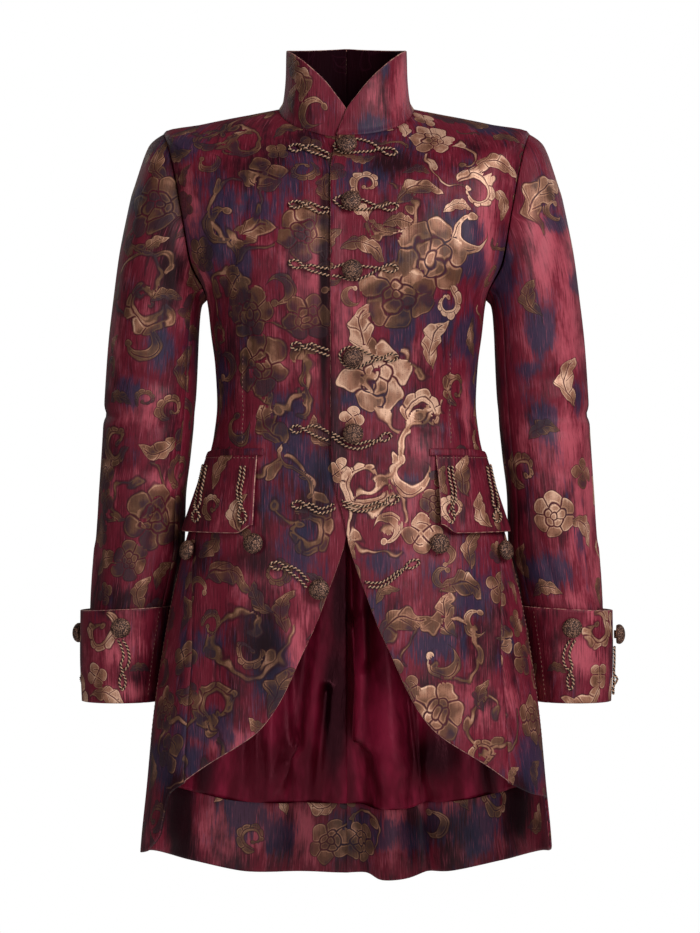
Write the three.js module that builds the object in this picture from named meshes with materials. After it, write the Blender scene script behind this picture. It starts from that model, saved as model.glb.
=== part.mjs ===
// A fitted brocade tailcoat jacket for a woman, standing hollow as when it is worn.
// Units are millimetres, +Z is up and the front faces -Y, so +X is the wearer's left.
// The origin is the middle of the neck, level with the two shoulder-neck points.
// Every cut piece is its own thin wall: fronts, side-backs and backs, two-piece sleeves,
// turned-back cuffs, a stand collar, pocket flaps and welts, the lining and hem facing of the
// tails, domed buttons and the frogs of twisted cord.
import * as THREE from "three";

// ---------- Driving dimensions ----------
const CLOTH = 2; // brocade with its interlining
const LINING_CLOTH = 1;
const SEAM = 0.3; // between two pieces that are sewn together
const ARMHOLE_SEAM = 0.5; // between a sleeve head and the armhole, where two curved edges meet
const FRONT_UNDERLAP = 2.9; // how far the wearer's right front lies under the left one
const COLLAR_UNDERLAP = 3.9;
const LINING_LAYER = 0.4; // from a panel's inside to the facing or lining that lies on it
const FACING_SHARE = 0.15; // of the tail's length, from the waist to the hem
const BUTTON = { radius: 11, stem: 3.4, under: 4.3, height: 12.3, seat: 0.3 };
const CORD = { radius: 1.6, sides: 4, seat: 0.3, eye: 3.8, over: 3.5 };
const FLAP = { top: -377.5, bottom: -460, start: 95, wrap: 92, lift: 1.3, flare: 4, corner: 9 };
const WELT = { height: 7, gap: 0.5, start: 88.3, lift: 1, sag: 6 };
const CUFF = { top: -544, bottom: -646, rise: 5 };

// ---------- Rings round the body, from below the hem up to the neck seam ----------
// side, front and back are the ring's height at each place, half is its half width, and fore
// and aft its depth before and behind the origin. square is 2 on an ellipse, more if squarer.
// arch is how the ring falls from its side to its front and back: 2 is a round arch.
const level = (z, half, fore, aft, square) =>
  ({ side: z, front: z, back: z, half, fore, aft, square, arch: 2 });
const RINGS = [
  level(-880, 228.0, 128, 190, 2.3),
  level(-806, 224.5, 127, 182, 2.3),
  level(-735, 217.5, 125, 172, 2.3),
  level(-665, 211.0, 122, 160, 2.3),
  level(-600, 202.0, 119, 148, 2.3),
  level(-540, 191.5, 116, 137, 2.3),
  level(-480, 178.0, 113, 127, 2.3),
  level(-430, 163.5, 109, 117, 2.3),
  level(-390, 153.0, 105, 107, 2.3),
  level(-355, 144.5, 101, 97, 2.25), // under the waist
  level(-320, 141.0, 99, 92, 2.2), // waist
  level(-280, 143.0, 104, 96, 2.2),
  level(-245, 147.5, 113, 103, 2.25),
  level(-208, 152.0, 121, 109, 2.4), // foot of the armhole
  { side: -165, front: -176, back: -172, half: 176, fore: 123, aft: 112, square: 2.6, arch: 2 },
  { side: -105, front: -135, back: -125, half: 190, fore: 114, aft: 112, square: 2.6, arch: 2 },
  // shoulder tip
  { side: -26, front: -88, back: -72, half: 199, fore: 96, aft: 96, square: 2.5, arch: 2 },
  { side: -15.5, front: -64, back: -38, half: 157, fore: 82, aft: 84, square: 2.4, arch: 1.6 },
  { side: -6.5, front: -46, back: -13, half: 115, fore: 71, aft: 73, square: 2.3, arch: 1.3 },
  // neck seam
  { side: 1, front: -32, back: 7, half: 73.5, fore: 60, aft: 61, square: 2.2, arch: 1.1 },
];
const WAIST = 10;
const ARMPIT = 13;
const SHOULDER = 16;
const NECK = 19;

// The swell of the bust on each front.
const BUST = { x: 78, z: -196, wide: 52, tall: 62, out: 8 };

// Flutes of the tails. turn is the place round the body, out is positive for a swell and
// negative for a trough, both at the hem, and from is the height where the flute starts.
const FLUTES = [
  { turn: -146, wide: 11, out: -13, from: -540 },
  { turn: -167, wide: 9, out: 9, from: -520 },
  { turn: -131, wide: 8, out: 7, from: -600 },
  { turn: 163, wide: 6.5, out: -22, from: -450 },
  { turn: 154, wide: 5.5, out: 12, from: -560 },
  { turn: 143, wide: 8, out: -11, from: -540 },
  { turn: 130, wide: 8, out: 7, from: -600 },
  { turn: 176, wide: 6, out: 9, from: -480 },
  { turn: -40, wide: 9, out: 4, from: -520 },
  { turn: 38, wide: 10, out: 4.5, from: -500 },
];

// ---------- Seams and edges ----------
// The edge of the wearer's left front as x at each height, down to the side seam's foot.
// The right front is cut the same.
const FRONT_EDGE = [
  { z: -30, x: -9 },
  { z: -48, x: -13.3 },
  { z: -70, x: -16.8 },
  { z: -178, x: -17 },
  { z: -387, x: -16.5 },
  { z: -417, x: -10.5 },
  { z: -443, x: -3 },
  { z: -472, x: 2.5 },
  { z: -497, x: 10.5 },
  { z: -521, x: 19.5 },
  { z: -551, x: 30.5 },
  { z: -590, x: 48 },
  { z: -639, x: 71 },
  { z: -665, x: 90 },
  { z: -688, x: 119 },
  { z: -709, x: 154 },
  { z: -727, x: 177 },
];
const CUTAWAY_TOP = -387;
// The hem of the side-back and back, as height at each turn from the side seam. The two tails
// hang differently: the corner at the side is turned forward on the wearer's right.
const BACK_HEM = [
  { turn: 105, z: -812 },
  { turn: 128, z: -831 },
  { turn: 145, z: -846 },
  { turn: 164, z: -849 },
  { turn: 180, z: -851 },
];
const HEM = {
  left: [
    { turn: 64.8, z: -727 },
    { turn: 74, z: -740 },
    { turn: 88, z: -750 },
    { turn: 91.5, z: -803 },
    { turn: 97, z: -809 },
    ...BACK_HEM,
  ],
  right: [
    { turn: 64.8, z: -727 },
    { turn: 70.2, z: -741 },
    { turn: 72.6, z: -785 },
    { turn: 80, z: -804 },
    { turn: 92, z: -809 },
    ...BACK_HEM,
  ],
};
// How the columns of the side-back share its width: at the armhole they start at the sleeve's
// points, and at the hem they are where the hem turns.
const HEM_TURNS = {
  left: [64.8, 74, 88, 91.5, 97, 106, 118, 130, 143, 155],
  right: [64.8, 70.2, 72.6, 80, 92, 106, 118, 130, 143, 155],
};
const SIDE_SEAM = [
  { z: -727, turn: 64.8 },
  { z: -600, turn: 65.6 },
  { z: -540, turn: 68.5 },
  { z: -482, turn: 73.2 },
  { z: -400, turn: 79 },
  { z: -320, turn: 82 },
  { z: -212, turn: 84 },
];
const BACK_SEAM = [
  { ring: 0, turn: 155 },
  { ring: 3, turn: 154.5 },
  { ring: 6, turn: 153.5 },
  { ring: 8, turn: 152.5 },
  { ring: 10, turn: 150 },
  { ring: 11, turn: 147 },
  { ring: 12, turn: 142 },
  { ring: 13, turn: 134 },
  { ring: 13.7, turn: 122 },
  { ring: 14.343, turn: 107.9 },
];
const ARMHOLE = { middle: 14.5, reach: 1.5, spread: 18 }; // in rings and degrees
const SEAM_STEP = 24; // degrees round the armhole from one joined point to the next

// The collar's top edge, as height at each turn from its front end.
const COLLAR_TOP = [
  { turn: -9.5, z: -27 },
  { turn: -4.5, z: -15.6 },
  { turn: 1, z: -2.7 },
  { turn: 11.4, z: 11 },
  { turn: 24, z: 26.4 },
  { turn: 35, z: 37.4 },
  { turn: 52, z: 51 },
  { turn: 70, z: 60 },
  { turn: 90, z: 64 },
  { turn: 135, z: 69 },
  { turn: 180, z: 72.5 },
];
const COLLAR_START = -9.5;
const COLLAR_RINGS = [
  { up: 0, half: 73.5, fore: 60, aft: 61 },
  { up: 0.12, half: 69.2, fore: 57, aft: 59.5 },
  { up: 0.45, half: 67.3, fore: 56.5, aft: 60 },
  { up: 1, half: 65.5, fore: 56, aft: 62 },
];

// Rings of a sleeve, from the armhole to its end inside the cuff. top is the outer side of the
// arm and low the side by the body, deep is half its depth, and mid its middle in depth.
const SLEEVE = [
  { topX: 199, topZ: -26, lowX: 152, lowZ: -208, deep: 58, mid: 0 },
  { topX: 213.5, topZ: -37.5, lowX: 157, lowZ: -213, deep: 61, mid: 0 },
  { topX: 227, topZ: -71, lowX: 159, lowZ: -222, deep: 63, mid: 1 },
  { topX: 238, topZ: -112, lowX: 160, lowZ: -233, deep: 63.5, mid: 2 },
  { topX: 247.5, topZ: -156, lowX: 161, lowZ: -248, deep: 63, mid: 4 },
  { topX: 254, topZ: -203, lowX: 162, lowZ: -271, deep: 61.5, mid: 6 },
  { topX: 260, topZ: -254, lowX: 163.5, lowZ: -302, deep: 60, mid: 8 },
  { topX: 264, topZ: -308, lowX: 166.3, lowZ: -338, deep: 58.5, mid: 11 },
  { topX: 267.3, topZ: -364, lowX: 170.5, lowZ: -378, deep: 57, mid: 15 },
  { topX: 271.5, topZ: -420, lowX: 175.8, lowZ: -422, deep: 55.5, mid: 22 },
  { topX: 275.5, topZ: -473, lowX: 177.5, lowZ: -473, deep: 54, mid: 31 },
  { topX: 280, topZ: -520, lowX: 187, lowZ: -520, deep: 53, mid: 38 },
  { topX: 283.5, topZ: -562, lowX: 196.1, lowZ: -562, deep: 52, mid: 42 },
  { topX: 286, topZ: -603, lowX: 202.8, lowZ: -603, deep: 52, mid: 44 },
  { topX: 287.5, topZ: -645, lowX: 208.4, lowZ: -645, deep: 52, mid: 46 },
];
const SLEEVE_HEAD = 4; // the ring where the armhole's own outline has faded out
const SLEEVE_SEAMS = { front: 144, back: 240 }; // round the sleeve from its outer side
// Rings of a cuff's outside, from its top edge down.
const CUFF_RINGS = [
  { topX: 292.5, lowX: 189, deep: 60, mid: 41 },
  { topX: 293.3, lowX: 198.3, deep: 58.5, mid: 44 },
  { topX: 291.6, lowX: 205.7, deep: 56, mid: 46 },
];

// ---------- Frogs and buttons ----------
// One cord makes each frog: it goes out, crosses itself, turns in an eye and comes back. The
// marks are x and z on the fronts. tip is the far end of the eye.
const RIGHT_FROGS = [
  { go: [[-18.5, -53], [-28, -48.5], [-38, -44.5]],
    cross: [-46, -48.5], tip: [-61.5, -48],
    back: [[-39, -52], [-28, -54.5], [-18.5, -58.5]] },
  { go: [[-18.5, -113.5], [-28, -112.5], [-37.5, -109]],
    cross: [-45, -111.5], tip: [-61, -110.5],
    back: [[-37.5, -115.5], [-28, -119], [-18.5, -117.5]] },
  { go: [[-18.5, -179], [-28, -178], [-37.5, -175.5]],
    cross: [-45.5, -177.5], tip: [-60.5, -172.5],
    back: [[-37.5, -181.5], [-28, -184], [-18.5, -186.5]] },
  { go: [[-18.5, -265], [-29, -261.5], [-37.5, -258]],
    cross: [-44.5, -261], tip: [-58.5, -260],
    back: [[-37.5, -263.5], [-29, -267], [-18.5, -271]] },
  { go: [[-18.5, -352.5], [-28, -347], [-37.5, -345]],
    cross: [-45, -349], tip: [-59, -349],
    back: [[-39, -352.5], [-30.5, -357], [-19.5, -360.5]] },
  { go: [[-13.5, -428], [-20.5, -431.5], [-29, -433], [-37, -428.5]],
    cross: [-43.5, -429], tip: [-57.5, -429.5],
    back: [[-37.5, -434], [-29, -438], [-19.5, -436.5], [-11.5, -432.5]] },
  { go: [[-40, -511], [-43.5, -506.5], [-49.5, -500], [-58, -495]],
    cross: [-64.5, -495.5], tip: [-80.5, -493],
    back: [[-61, -500], [-53.5, -505.5], [-47, -511.5], [-42.5, -517]] },
];
// A frog with a button is a closed loop round its stem.
const LEFT_FROGS = [
  { button: [0.5, -47], go: [[-13.5, -46], [-7, -39], [6, -38], [19.5, -40], [29.5, -44.5]],
    cross: [37, -51], tip: [53.5, -53.5],
    back: [[27, -52], [16.5, -52.5], [3.5, -53.5], [-8, -52.5]] },
  { button: [5, -108.5], go: [[-13.5, -106.5], [-7, -102], [3.5, -101], [16.5, -105.5], [27, -110]],
    cross: [36.5, -114.5], tip: [54.5, -112.5],
    back: [[25, -115.5], [12, -116], [0.5, -115.5], [-8, -112]] },
  { go: [[-15.5, -179], [-5, -175], [7, -173], [18.5, -177], [28, -178]],
    cross: [36, -179], tip: [54, -179],
    back: [[29, -183], [21.5, -187], [12, -190.5], [1.5, -190.5], [-7, -187.5], [-15.5, -186.5]] },
  { button: [7, -271.5], go: [[-7, -268.5], [-0.5, -262], [9, -261.5], [18.5, -265.5], [28, -270.5]],
    cross: [37, -272.5], tip: [54.5, -272],
    back: [[24, -277], [13.5, -282.5], [2.5, -283], [-5, -277]] },
  { go: [[-15.5, -353], [-6, -358], [3.5, -363], [13.5, -364.5], [23, -362]],
    cross: [33.5, -361], tip: [47, -354.5],
    back: [[23, -367], [12, -370], [1.5, -368], [-8, -362.5], [-15.5, -357]] },
  { go: [[-5, -425], [5, -429], [14.5, -431.5], [24, -430], [32.5, -426.5]],
    cross: [39, -428.5], tip: [55.5, -421.5],
    back: [[32.5, -431.5], [24, -435], [14.5, -436.5], [5, -434.5], [-4, -429.5]] },
  { go: [[19.5, -511], [28, -512], [36.5, -511.5], [45, -507], [53.5, -500.5]],
    cross: [61, -496.5], tip: [76.5, -489],
    back: [[58, -501], [50.5, -507], [43, -513], [33.5, -516.5], [23, -516]] },
];
const LEFT_BUTTONS = [[6.5, -180.5], [7, -354]]; // beside the slack cords
const RIGHT_EDGE_BUTTON = [-29, -519]; // at the end of the lowest cord
const HIP_BUTTONS = [
  { name: "front", x: 97, z: -471 },
  { name: "side", x: 166, z: -480 },
];
const FLAP_CORDS = [
  { name: "front", go: [[106, -389], [107, -403], [109.2, -416], [108.5, -427]],
    cross: [108, -433], tip: [107, -450],
    back: [[112, -425], [113, -415], [111, -402], [110, -389]] },
  { name: "side", go: [[146.5, -389], [148.5, -405], [150.5, -419], [151, -430]],
    cross: [153.5, -435.5], tip: [156, -450],
    back: [[156, -428], [155, -417], [153, -403.5], [150.8, -388]] },
];
// On a cuff the marks are aside from the button towards the body, and down from it.
const CUFF_TRIMS = [
  { name: "front", turn: { left: 88, right: 88 }, z: -563,
    go: [[3, 13.5], [10, 23], [13.5, 35], [11.5, 43.5]],
    cross: [6, 48.5], tip: [7.5, 68],
    back: [[3.5, 41.5], [6, 31.5], [2.5, 21.5], [-2.5, 13.5]] },
  { name: "outer", turn: { left: 8, right: -22 }, z: -571,
    go: [[2.2, 13.5], [2.2, 32], [2.6, 45]],
    cross: [0, 50.5], tip: [0, 67],
    back: [[-2.6, 45], [-2.2, 32], [-2.2, 13.5]] },
];

// ---------- Mesh sizes ----------
const GRID = {
  front: 9, back: 7, tail: 12, bodice: 5, shoulder: 3, facing: 2,
  collar: [12, 3], cuff: [22, 2], flap: [9, 4],
};
const BUTTON_SIDES = 9;

// ---------- Small helpers ----------
const DEGREE = Math.PI / 180;
const clamp = (v, low, high) => Math.min(high, Math.max(low, v));
const mix = (a, b, t) => a + (b - a) * t;
const smooth = (low, high, v) => {
  const t = clamp((v - low) / (high - low), 0, 1);
  return t * t * (3 - 2 * t);
};

// A smooth curve through a table's rows that never overshoots them.
function curve(rows, key, value) {
  const sorted = [...rows].sort((a, b) => a[key] - b[key]);
  const at = sorted.map((r) => r[key]);
  const to = sorted.map((r) => r[value]);
  const last = at.length - 1;
  const rise = at.slice(1).map((x, i) => (to[i + 1] - to[i]) / (x - at[i]));
  const slope = at.map((_, i) => {
    if (i === 0) return rise[0];
    if (i === last) return rise[last - 1];
    const product = rise[i - 1] * rise[i];
    return product > 0 ? (2 * product) / (rise[i - 1] + rise[i]) : 0;
  });
  return (x) => {
    const place = clamp(x, at[0], at[last]);
    let i = 0;
    while (i < last - 1 && place > at[i + 1]) i++;
    const width = at[i + 1] - at[i];
    const t = (place - at[i]) / width;
    const t2 = t * t;
    const t3 = t2 * t;
    return (2 * t3 - 3 * t2 + 1) * to[i] + (t3 - 2 * t2 + t) * width * slope[i]
      + (3 * t2 - 2 * t3) * to[i + 1] + (t3 - t2) * width * slope[i + 1];
  };
}

const counted = (rows) => rows.map((row, ring) => ({ ...row, ring }));
const curves = (rows, key, names) =>
  Object.fromEntries(names.map((name) => [name, curve(rows, key, name)]));

// The place between low and high where f changes sign.
function solve(f, low, high) {
  const start = Math.sign(f(low));
  for (let i = 0; i < 40; i++) {
    const middle = (low + high) / 2;
    if (Math.sign(f(middle)) === start) low = middle;
    else high = middle;
  }
  return (low + high) / 2;
}

// ---------- The body's surface ----------
const ringNames = ["side", "front", "back", "half", "fore", "aft", "square", "arch"];
const body = curves(counted(RINGS), "ring", ringNames);
const frontEdge = curve(FRONT_EDGE, "z", "x");
const hem = Object.fromEntries(["left", "right"].map((hand) => [hand, curve(HEM[hand], "turn", "z")]));
const sideSeam = curve(SIDE_SEAM, "z", "turn");
const backSeam = curve(BACK_SEAM, "ring", "turn");
const ringOf = (z) => solve((r) => body.side(r) - z, 0, ARMPIT);

// A point of an oval: turn is 0 at the front and grows towards the wearer's left.
function oval(turn, half, fore, aft, square) {
  const s = Math.sin(turn * DEGREE);
  const c = Math.cos(turn * DEGREE);
  const deep = c > 0 ? fore : aft;
  const reach = (Math.abs(s / half) ** square + Math.abs(c / deep) ** square) ** (-1 / square);
  return new THREE.Vector3(reach * s, -reach * c, 0);
}

const fluteAt = (turn, z) =>
  FLUTES.reduce((sum, f) => {
    const off = ((turn - f.turn + 540) % 360) - 180;
    return sum + f.out * Math.exp(-((off / f.wide) ** 2)) * smooth(f.from, -840, z);
  }, 0);

function bustAt(x, z) {
  const across = (Math.abs(x) - BUST.x) / BUST.wide;
  return BUST.out * Math.exp(-(across ** 2) - ((z - BUST.z) / BUST.tall) ** 2);
}

function skin(turn, ring) {
  const c = Math.cos(turn * DEGREE);
  const point = oval(turn, body.half(ring), body.fore(ring), body.aft(ring), body.square(ring));
  const [end, deep] = c > 0 ? [body.front(ring), body.fore(ring)] : [body.back(ring), body.aft(ring)];
  point.z = mix(body.side(ring), end, Math.abs(point.y / deep) ** body.arch(ring));
  const out = fluteAt(turn, point.z) / Math.hypot(point.x, point.y);
  point.x *= 1 + out;
  point.y *= 1 + out;
  if (c > 0) point.y -= bustAt(point.x, point.z) * smooth(0, 0.35, c);
  return point;
}

function facing(surface, a, b, stepA, stepB) {
  const across = surface(a + stepA, b).sub(surface(a - stepA, b));
  const along = surface(a, b + stepB).sub(surface(a, b - stepB));
  return across.cross(along).normalize();
}

// The body's surface moved out by lift.
function lifted(turn, ring, lift) {
  const up = facing(skin, turn, Math.min(ring, NECK - 0.03), 1.2, 0.03);
  return skin(turn, ring).addScaledVector(up, lift);
}

// The turn and ring of the place on the front that shows at x and z.
function frontSpot(x, z) {
  let turn = Math.atan2(x, 110) / DEGREE;
  let ring = ARMPIT;
  for (let i = 0; i < 25; i++) {
    ring = solve((r) => skin(turn, r).z - z, 0, NECK);
    turn = solve((t) => skin(t, ring).x - x, -89, 89);
  }
  return { turn, ring };
}

// ---------- Solids ----------
// A closed wall between two grids of points. Columns run round when it is a tube.
function wall(columns, rows, outer, inner, tube = false) {
  const points = [];
  const wide = tube ? columns : columns + 1;
  for (const side of [outer, inner])
    for (let j = 0; j <= rows; j++)
      for (let i = 0; i < wide; i++) points.push(side(i / columns, j / rows));
  const sheet = wide * (rows + 1);
  const at = (layer, i, j) => layer * sheet + j * wide + (i % wide);
  const faces = [];
  const quad = (a, b, c, d) => faces.push(a, b, c, a, c, d);
  for (let j = 0; j < rows; j++)
    for (let i = 0; i < columns; i++) {
      quad(at(0, i, j), at(0, i + 1, j), at(0, i + 1, j + 1), at(0, i, j + 1));
      quad(at(1, i, j), at(1, i, j + 1), at(1, i + 1, j + 1), at(1, i + 1, j));
    }
  for (let i = 0; i < columns; i++) {
    quad(at(0, i + 1, 0), at(0, i, 0), at(1, i, 0), at(1, i + 1, 0));
    quad(at(0, i, rows), at(0, i + 1, rows), at(1, i + 1, rows), at(1, i, rows));
  }
  if (!tube)
    for (let j = 0; j < rows; j++) {
      quad(at(0, 0, j), at(0, 0, j + 1), at(1, 0, j + 1), at(1, 0, j));
      quad(at(0, columns, j + 1), at(0, columns, j), at(1, columns, j), at(1, columns, j + 1));
    }
  return geometryOf(points, faces);
}

// Six times the volume inside the faces, negative if they face inwards.
function signedVolume(points, faces) {
  let sum = 0;
  for (let i = 0; i < faces.length; i += 3) {
    const [a, b, c] = [faces[i], faces[i + 1], faces[i + 2]].map((n) => points[n]);
    sum += a.dot(b.clone().cross(c));
  }
  return sum;
}

function geometryOf(points, faces) {
  const outward = signedVolume(points, faces) > 0 ? faces : [...faces].reverse();
  const geometry = new THREE.BufferGeometry().setFromPoints(points);
  geometry.setIndex(outward);
  geometry.computeVertexNormals();
  return geometry;
}

// A round cord along points that each carry the way up from the cloth. A loop has no ends.
function cord(path, loop) {
  const count = path.length;
  const points = [];
  path.forEach(({ at, up }, i) => {
    const before = path[loop ? (i + count - 1) % count : Math.max(i - 1, 0)].at;
    const after = path[loop ? (i + 1) % count : Math.min(i + 1, count - 1)].at;
    const aside = after.clone().sub(before).cross(up).normalize();
    for (let k = 0; k < CORD.sides; k++) {
      const a = (2 * Math.PI * (k + 0.5)) / CORD.sides;
      points.push(at.clone()
        .addScaledVector(aside, CORD.radius * Math.cos(a))
        .addScaledVector(up, CORD.radius * Math.sin(a)));
    }
  });
  const faces = [];
  const spans = loop ? count : count - 1;
  for (let i = 0; i < spans; i++)
    for (let k = 0; k < CORD.sides; k++) {
      const [a, b] = [i, (i + 1) % count].map((n) => n * CORD.sides + k);
      const [c, d] = [i, (i + 1) % count].map((n) => n * CORD.sides + ((k + 1) % CORD.sides));
      faces.push(a, b, d, a, d, c);
    }
  if (!loop)
    for (let k = 1; k < CORD.sides - 1; k++) {
      const end = (count - 1) * CORD.sides;
      faces.push(0, k, k + 1, end, end + k + 1, end + k);
    }
  return geometryOf(points, faces);
}

function buttonAt(at, up) {
  const { radius, stem, under, height } = BUTTON;
  const profile = [[0, 0], [stem, 0], [stem, under], [radius, under + 1.8],
    [radius * 0.86, under + 5], [radius * 0.48, height - 0.8], [0, height]]
    .map(([r, h]) => new THREE.Vector2(r, h));
  const turned = new THREE.LatheGeometry(profile, BUTTON_SIDES);
  const stand = new THREE.Quaternion().setFromUnitVectors(new THREE.Vector3(0, 1, 0), up);
  const geometry = turned.applyQuaternion(stand);
  geometry.translate(at.x, at.y, at.z);
  return geometry;
}

// ---------- Body panels ----------
const hand = (side) => (side > 0 ? "left" : "right");
const mirror = (side, point) => {
  if (side < 0) point.x = -point.x;
  return point;
};
const seamShift = (turn, ring) => SEAM / 2 / (skin(turn, ring).length() * DEGREE);
// The back seam slants across the shoulder blade, so its gap is wider measured level.
const backShift = (ring) => seamShift(150, ring) * (1 + 2 * smooth(12, 13.5, ring));
const armholeWidth = (ring) => {
  const off = (ring - ARMHOLE.middle) / ARMHOLE.reach;
  return ARMHOLE.spread * Math.sqrt(Math.max(0, 1 - off * off));
};
const armholeRing = (turn) => ARMHOLE.middle + ARMHOLE.reach * Math.cos(turn * DEGREE);
const steps = (from, to, step) =>
  Array.from({ length: Math.round(Math.abs(to - from) / step) + 1 }, (_, i) =>
    from + Math.sign(to - from) * step * i);
const SIDE_SEAM_TOP = solve((r) => 90 - armholeWidth(r) - sideSeam(-200), ARMPIT, ARMHOLE.middle);
const BACK_SEAM_TOP = armholeRing(4 * SEAM_STEP);

// The edge of the armhole, or the shoulder seam above it, on the front (-1) or back (1).
const armEdge = (ring, way) => 90 + way * (ring < SHOULDER ? armholeWidth(ring) : 0);

function frontTurns(ring, z) {
  const shift = seamShift(80, ring);
  const x = frontEdge(z);
  const start = solve((t) => skin(t, ring).x - x, -40, 85);
  const end = ring < SIDE_SEAM_TOP ? sideSeam(body.side(ring)) : armEdge(ring, -1);
  return [start, end - shift];
}

// The rings of a panel's rows from the neck down to the waist. Beside the armhole they are at
// the sleeve's own points, so that the two edges run alike.
const stretch = (from, to, count) =>
  Array.from({ length: count }, (_, i) => mix(from, to, (i + 1) / count));
const upperRows = (armTurns, seamTop) => [
  NECK,
  ...stretch(NECK, SHOULDER, GRID.shoulder),
  ...armTurns.map(armholeRing),
  ...stretch(seamTop, WAIST, GRID.bodice),
];
const frontRows = upperRows(steps(SEAM_STEP, 6 * SEAM_STEP, SEAM_STEP), SIDE_SEAM_TOP);
frontRows.splice(-GRID.bodice, 0, SIDE_SEAM_TOP);
const backRows = upperRows(steps(SEAM_STEP, 4 * SEAM_STEP, SEAM_STEP), BACK_SEAM_TOP);
const edgeHeight = (ring) => body.front(ring);

// The x where a column of the front lies, with the straight edge carried on below the cutaway.
function frontColumnTurn(u, ring) {
  const z = Math.max(edgeHeight(ring), CUTAWAY_TOP);
  const [start, end] = frontTurns(ring, z);
  return mix(start, end, u);
}

// The ring where a column of the front meets the cutaway edge.
function frontFoot(u) {
  const top = ringOf(CUTAWAY_TOP);
  const low = ringOf(FRONT_EDGE.at(-1).z);
  if (u >= 1) return low;
  return solve((r) => skin(frontColumnTurn(u, r), r).x - frontEdge(body.side(r)), low, top);
}

// Rows below the waist share a column's length, and the last ones are the facing's.
function tailRing(foot, row) {
  const plain = GRID.tail - GRID.facing;
  const share = row <= plain
    ? ((1 - FACING_SHARE) * row) / plain
    : 1 - (FACING_SHARE * (GRID.tail - row)) / GRID.facing;
  return ringOf(mix(body.side(WAIST), body.side(foot), share));
}

// A panel's point: rows above the waist are level, and those below run down to its own foot.
function panelRing(rows, foot, v) {
  const at = Math.round(v * (rows.length - 1 + GRID.tail));
  return at < rows.length ? rows[at] : tailRing(foot, at - rows.length + 1);
}

function frontPanel(side, sink) {
  const rows = frontRows.length - 1 + GRID.tail;
  const layer = (lift) => (u, v) => {
    const ring = panelRing(frontRows, frontFoot(u), v);
    const turn = frontColumnTurn(u, ring);
    return mirror(side, lifted(turn, ring, lift + sink(turn, ring)));
  };
  return wall(GRID.front, rows, layer(0), layer(-CLOTH));
}

const sidePanelTurn = (u, ring) => {
  const start = sideSeam(body.side(ring)) + seamShift(80, ring);
  return mix(start, backSeam(ring) - backShift(ring), u);
};

// Columns of the side-back start at points round the armhole.
const sideColumns = [
  { top: SIDE_SEAM_TOP, u: 0 },
  ...steps(7 * SEAM_STEP, 10.5 * SEAM_STEP, SEAM_STEP / 2).map((turn) => {
    const ring = armholeRing(turn);
    const across = 90 - ARMHOLE.spread * Math.sin(turn * DEGREE);
    const [start, end] = [0, 1].map((u) => sidePanelTurn(u, ring));
    return { top: ring, u: (across - start) / (end - start) };
  }),
  { top: BACK_SEAM_TOP, u: 1 },
];

// The turn of a column at each ring, between its shares at the armhole and at the hem.
function sideColumnTurn(side, column) {
  const turns = HEM_TURNS[hand(side)];
  const foot = (turns[column] - turns[0]) / (turns.at(-1) - turns[0]);
  return (ring) => sidePanelTurn(mix(foot, sideColumns[column].u, clamp(ring / 11, 0, 1)), ring);
}

// The deep trough behind the left hip carries its hem lower.
const trough = FLUTES[3];
const hemDrop = (turn) => 8 * Math.exp(-(((turn - trough.turn) / 7.5) ** 4));

// The ring of the hem under a column whose turn changes with height.
function footOf(turnAt, side) {
  const bottom = hem[hand(side)];
  let ring = 1;
  for (let i = 0; i < 12; i++) {
    const turn = turnAt(ring);
    ring = ringOf(bottom(turn) - (side > 0 ? hemDrop(turn) : 0));
  }
  return ring;
}

function sidePanel(side) {
  const rows = GRID.bodice + GRID.tail;
  const count = sideColumns.length - 1;
  const layer = (lift) => (u, v) => {
    const column = Math.round(u * count);
    const turnAt = sideColumnTurn(side, column);
    const row = Math.round(v * rows);
    const ring = row <= GRID.bodice
      ? mix(sideColumns[column].top, WAIST, row / GRID.bodice)
      : tailRing(footOf(turnAt, side), row - GRID.bodice);
    return lifted(side * turnAt(ring), ring, lift);
  };
  return wall(count, rows, layer(0), layer(-CLOTH));
}

function backTurn(u, ring) {
  const start = ring <= BACK_SEAM_TOP ? backSeam(ring) : armEdge(ring, 1);
  return mix(start + backShift(ring), 180 - seamShift(180, ring), u);
}

function backPanel(side) {
  const rows = backRows.length - 1 + GRID.tail;
  const layer = (lift) => (u, v) => {
    const foot = footOf((r) => backTurn(u, r), side);
    const ring = panelRing(backRows, foot, v);
    return lifted(side * backTurn(u, ring), ring, lift);
  };
  return wall(GRID.back, rows, layer(0), layer(-CLOTH));
}

// ---------- Lining and facing of the tails ----------
// Both lie inside the side-back and the back and follow their columns and rows.
function tailColumns(side) {
  return [
    ...sideColumns.map((_, column) => sideColumnTurn(side, column)),
    ...stretch(0, 1, GRID.back).map((u) => (ring) => backTurn(u, ring)),
  ];
}

function tailLayer(side, from, to, gap) {
  const turns = tailColumns(side);
  const columns = turns.length - 1;
  const layer = (lift) => (u, v) => {
    const turnAt = turns[Math.round(u * columns)];
    const row = Math.round(mix(from, to, v));
    const ring = tailRing(footOf(turnAt, side), row) + (row === to ? gap : 0);
    return lifted(side * turnAt(ring), ring, lift);
  };
  const outside = -CLOTH - LINING_LAYER;
  return wall(columns, to - from, layer(outside), layer(outside - LINING_CLOTH));
}

const facingPanel = (side) => tailLayer(side, GRID.tail - GRID.facing, GRID.tail, 0.005);
const liningPanel = (side) => tailLayer(side, 0, GRID.tail - GRID.facing, 0.005);

// ---------- Collar ----------
const collarTop = curve(COLLAR_TOP, "turn", "z");
const collarRings = curves(COLLAR_RINGS, "up", ["half", "fore", "aft"]);

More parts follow.
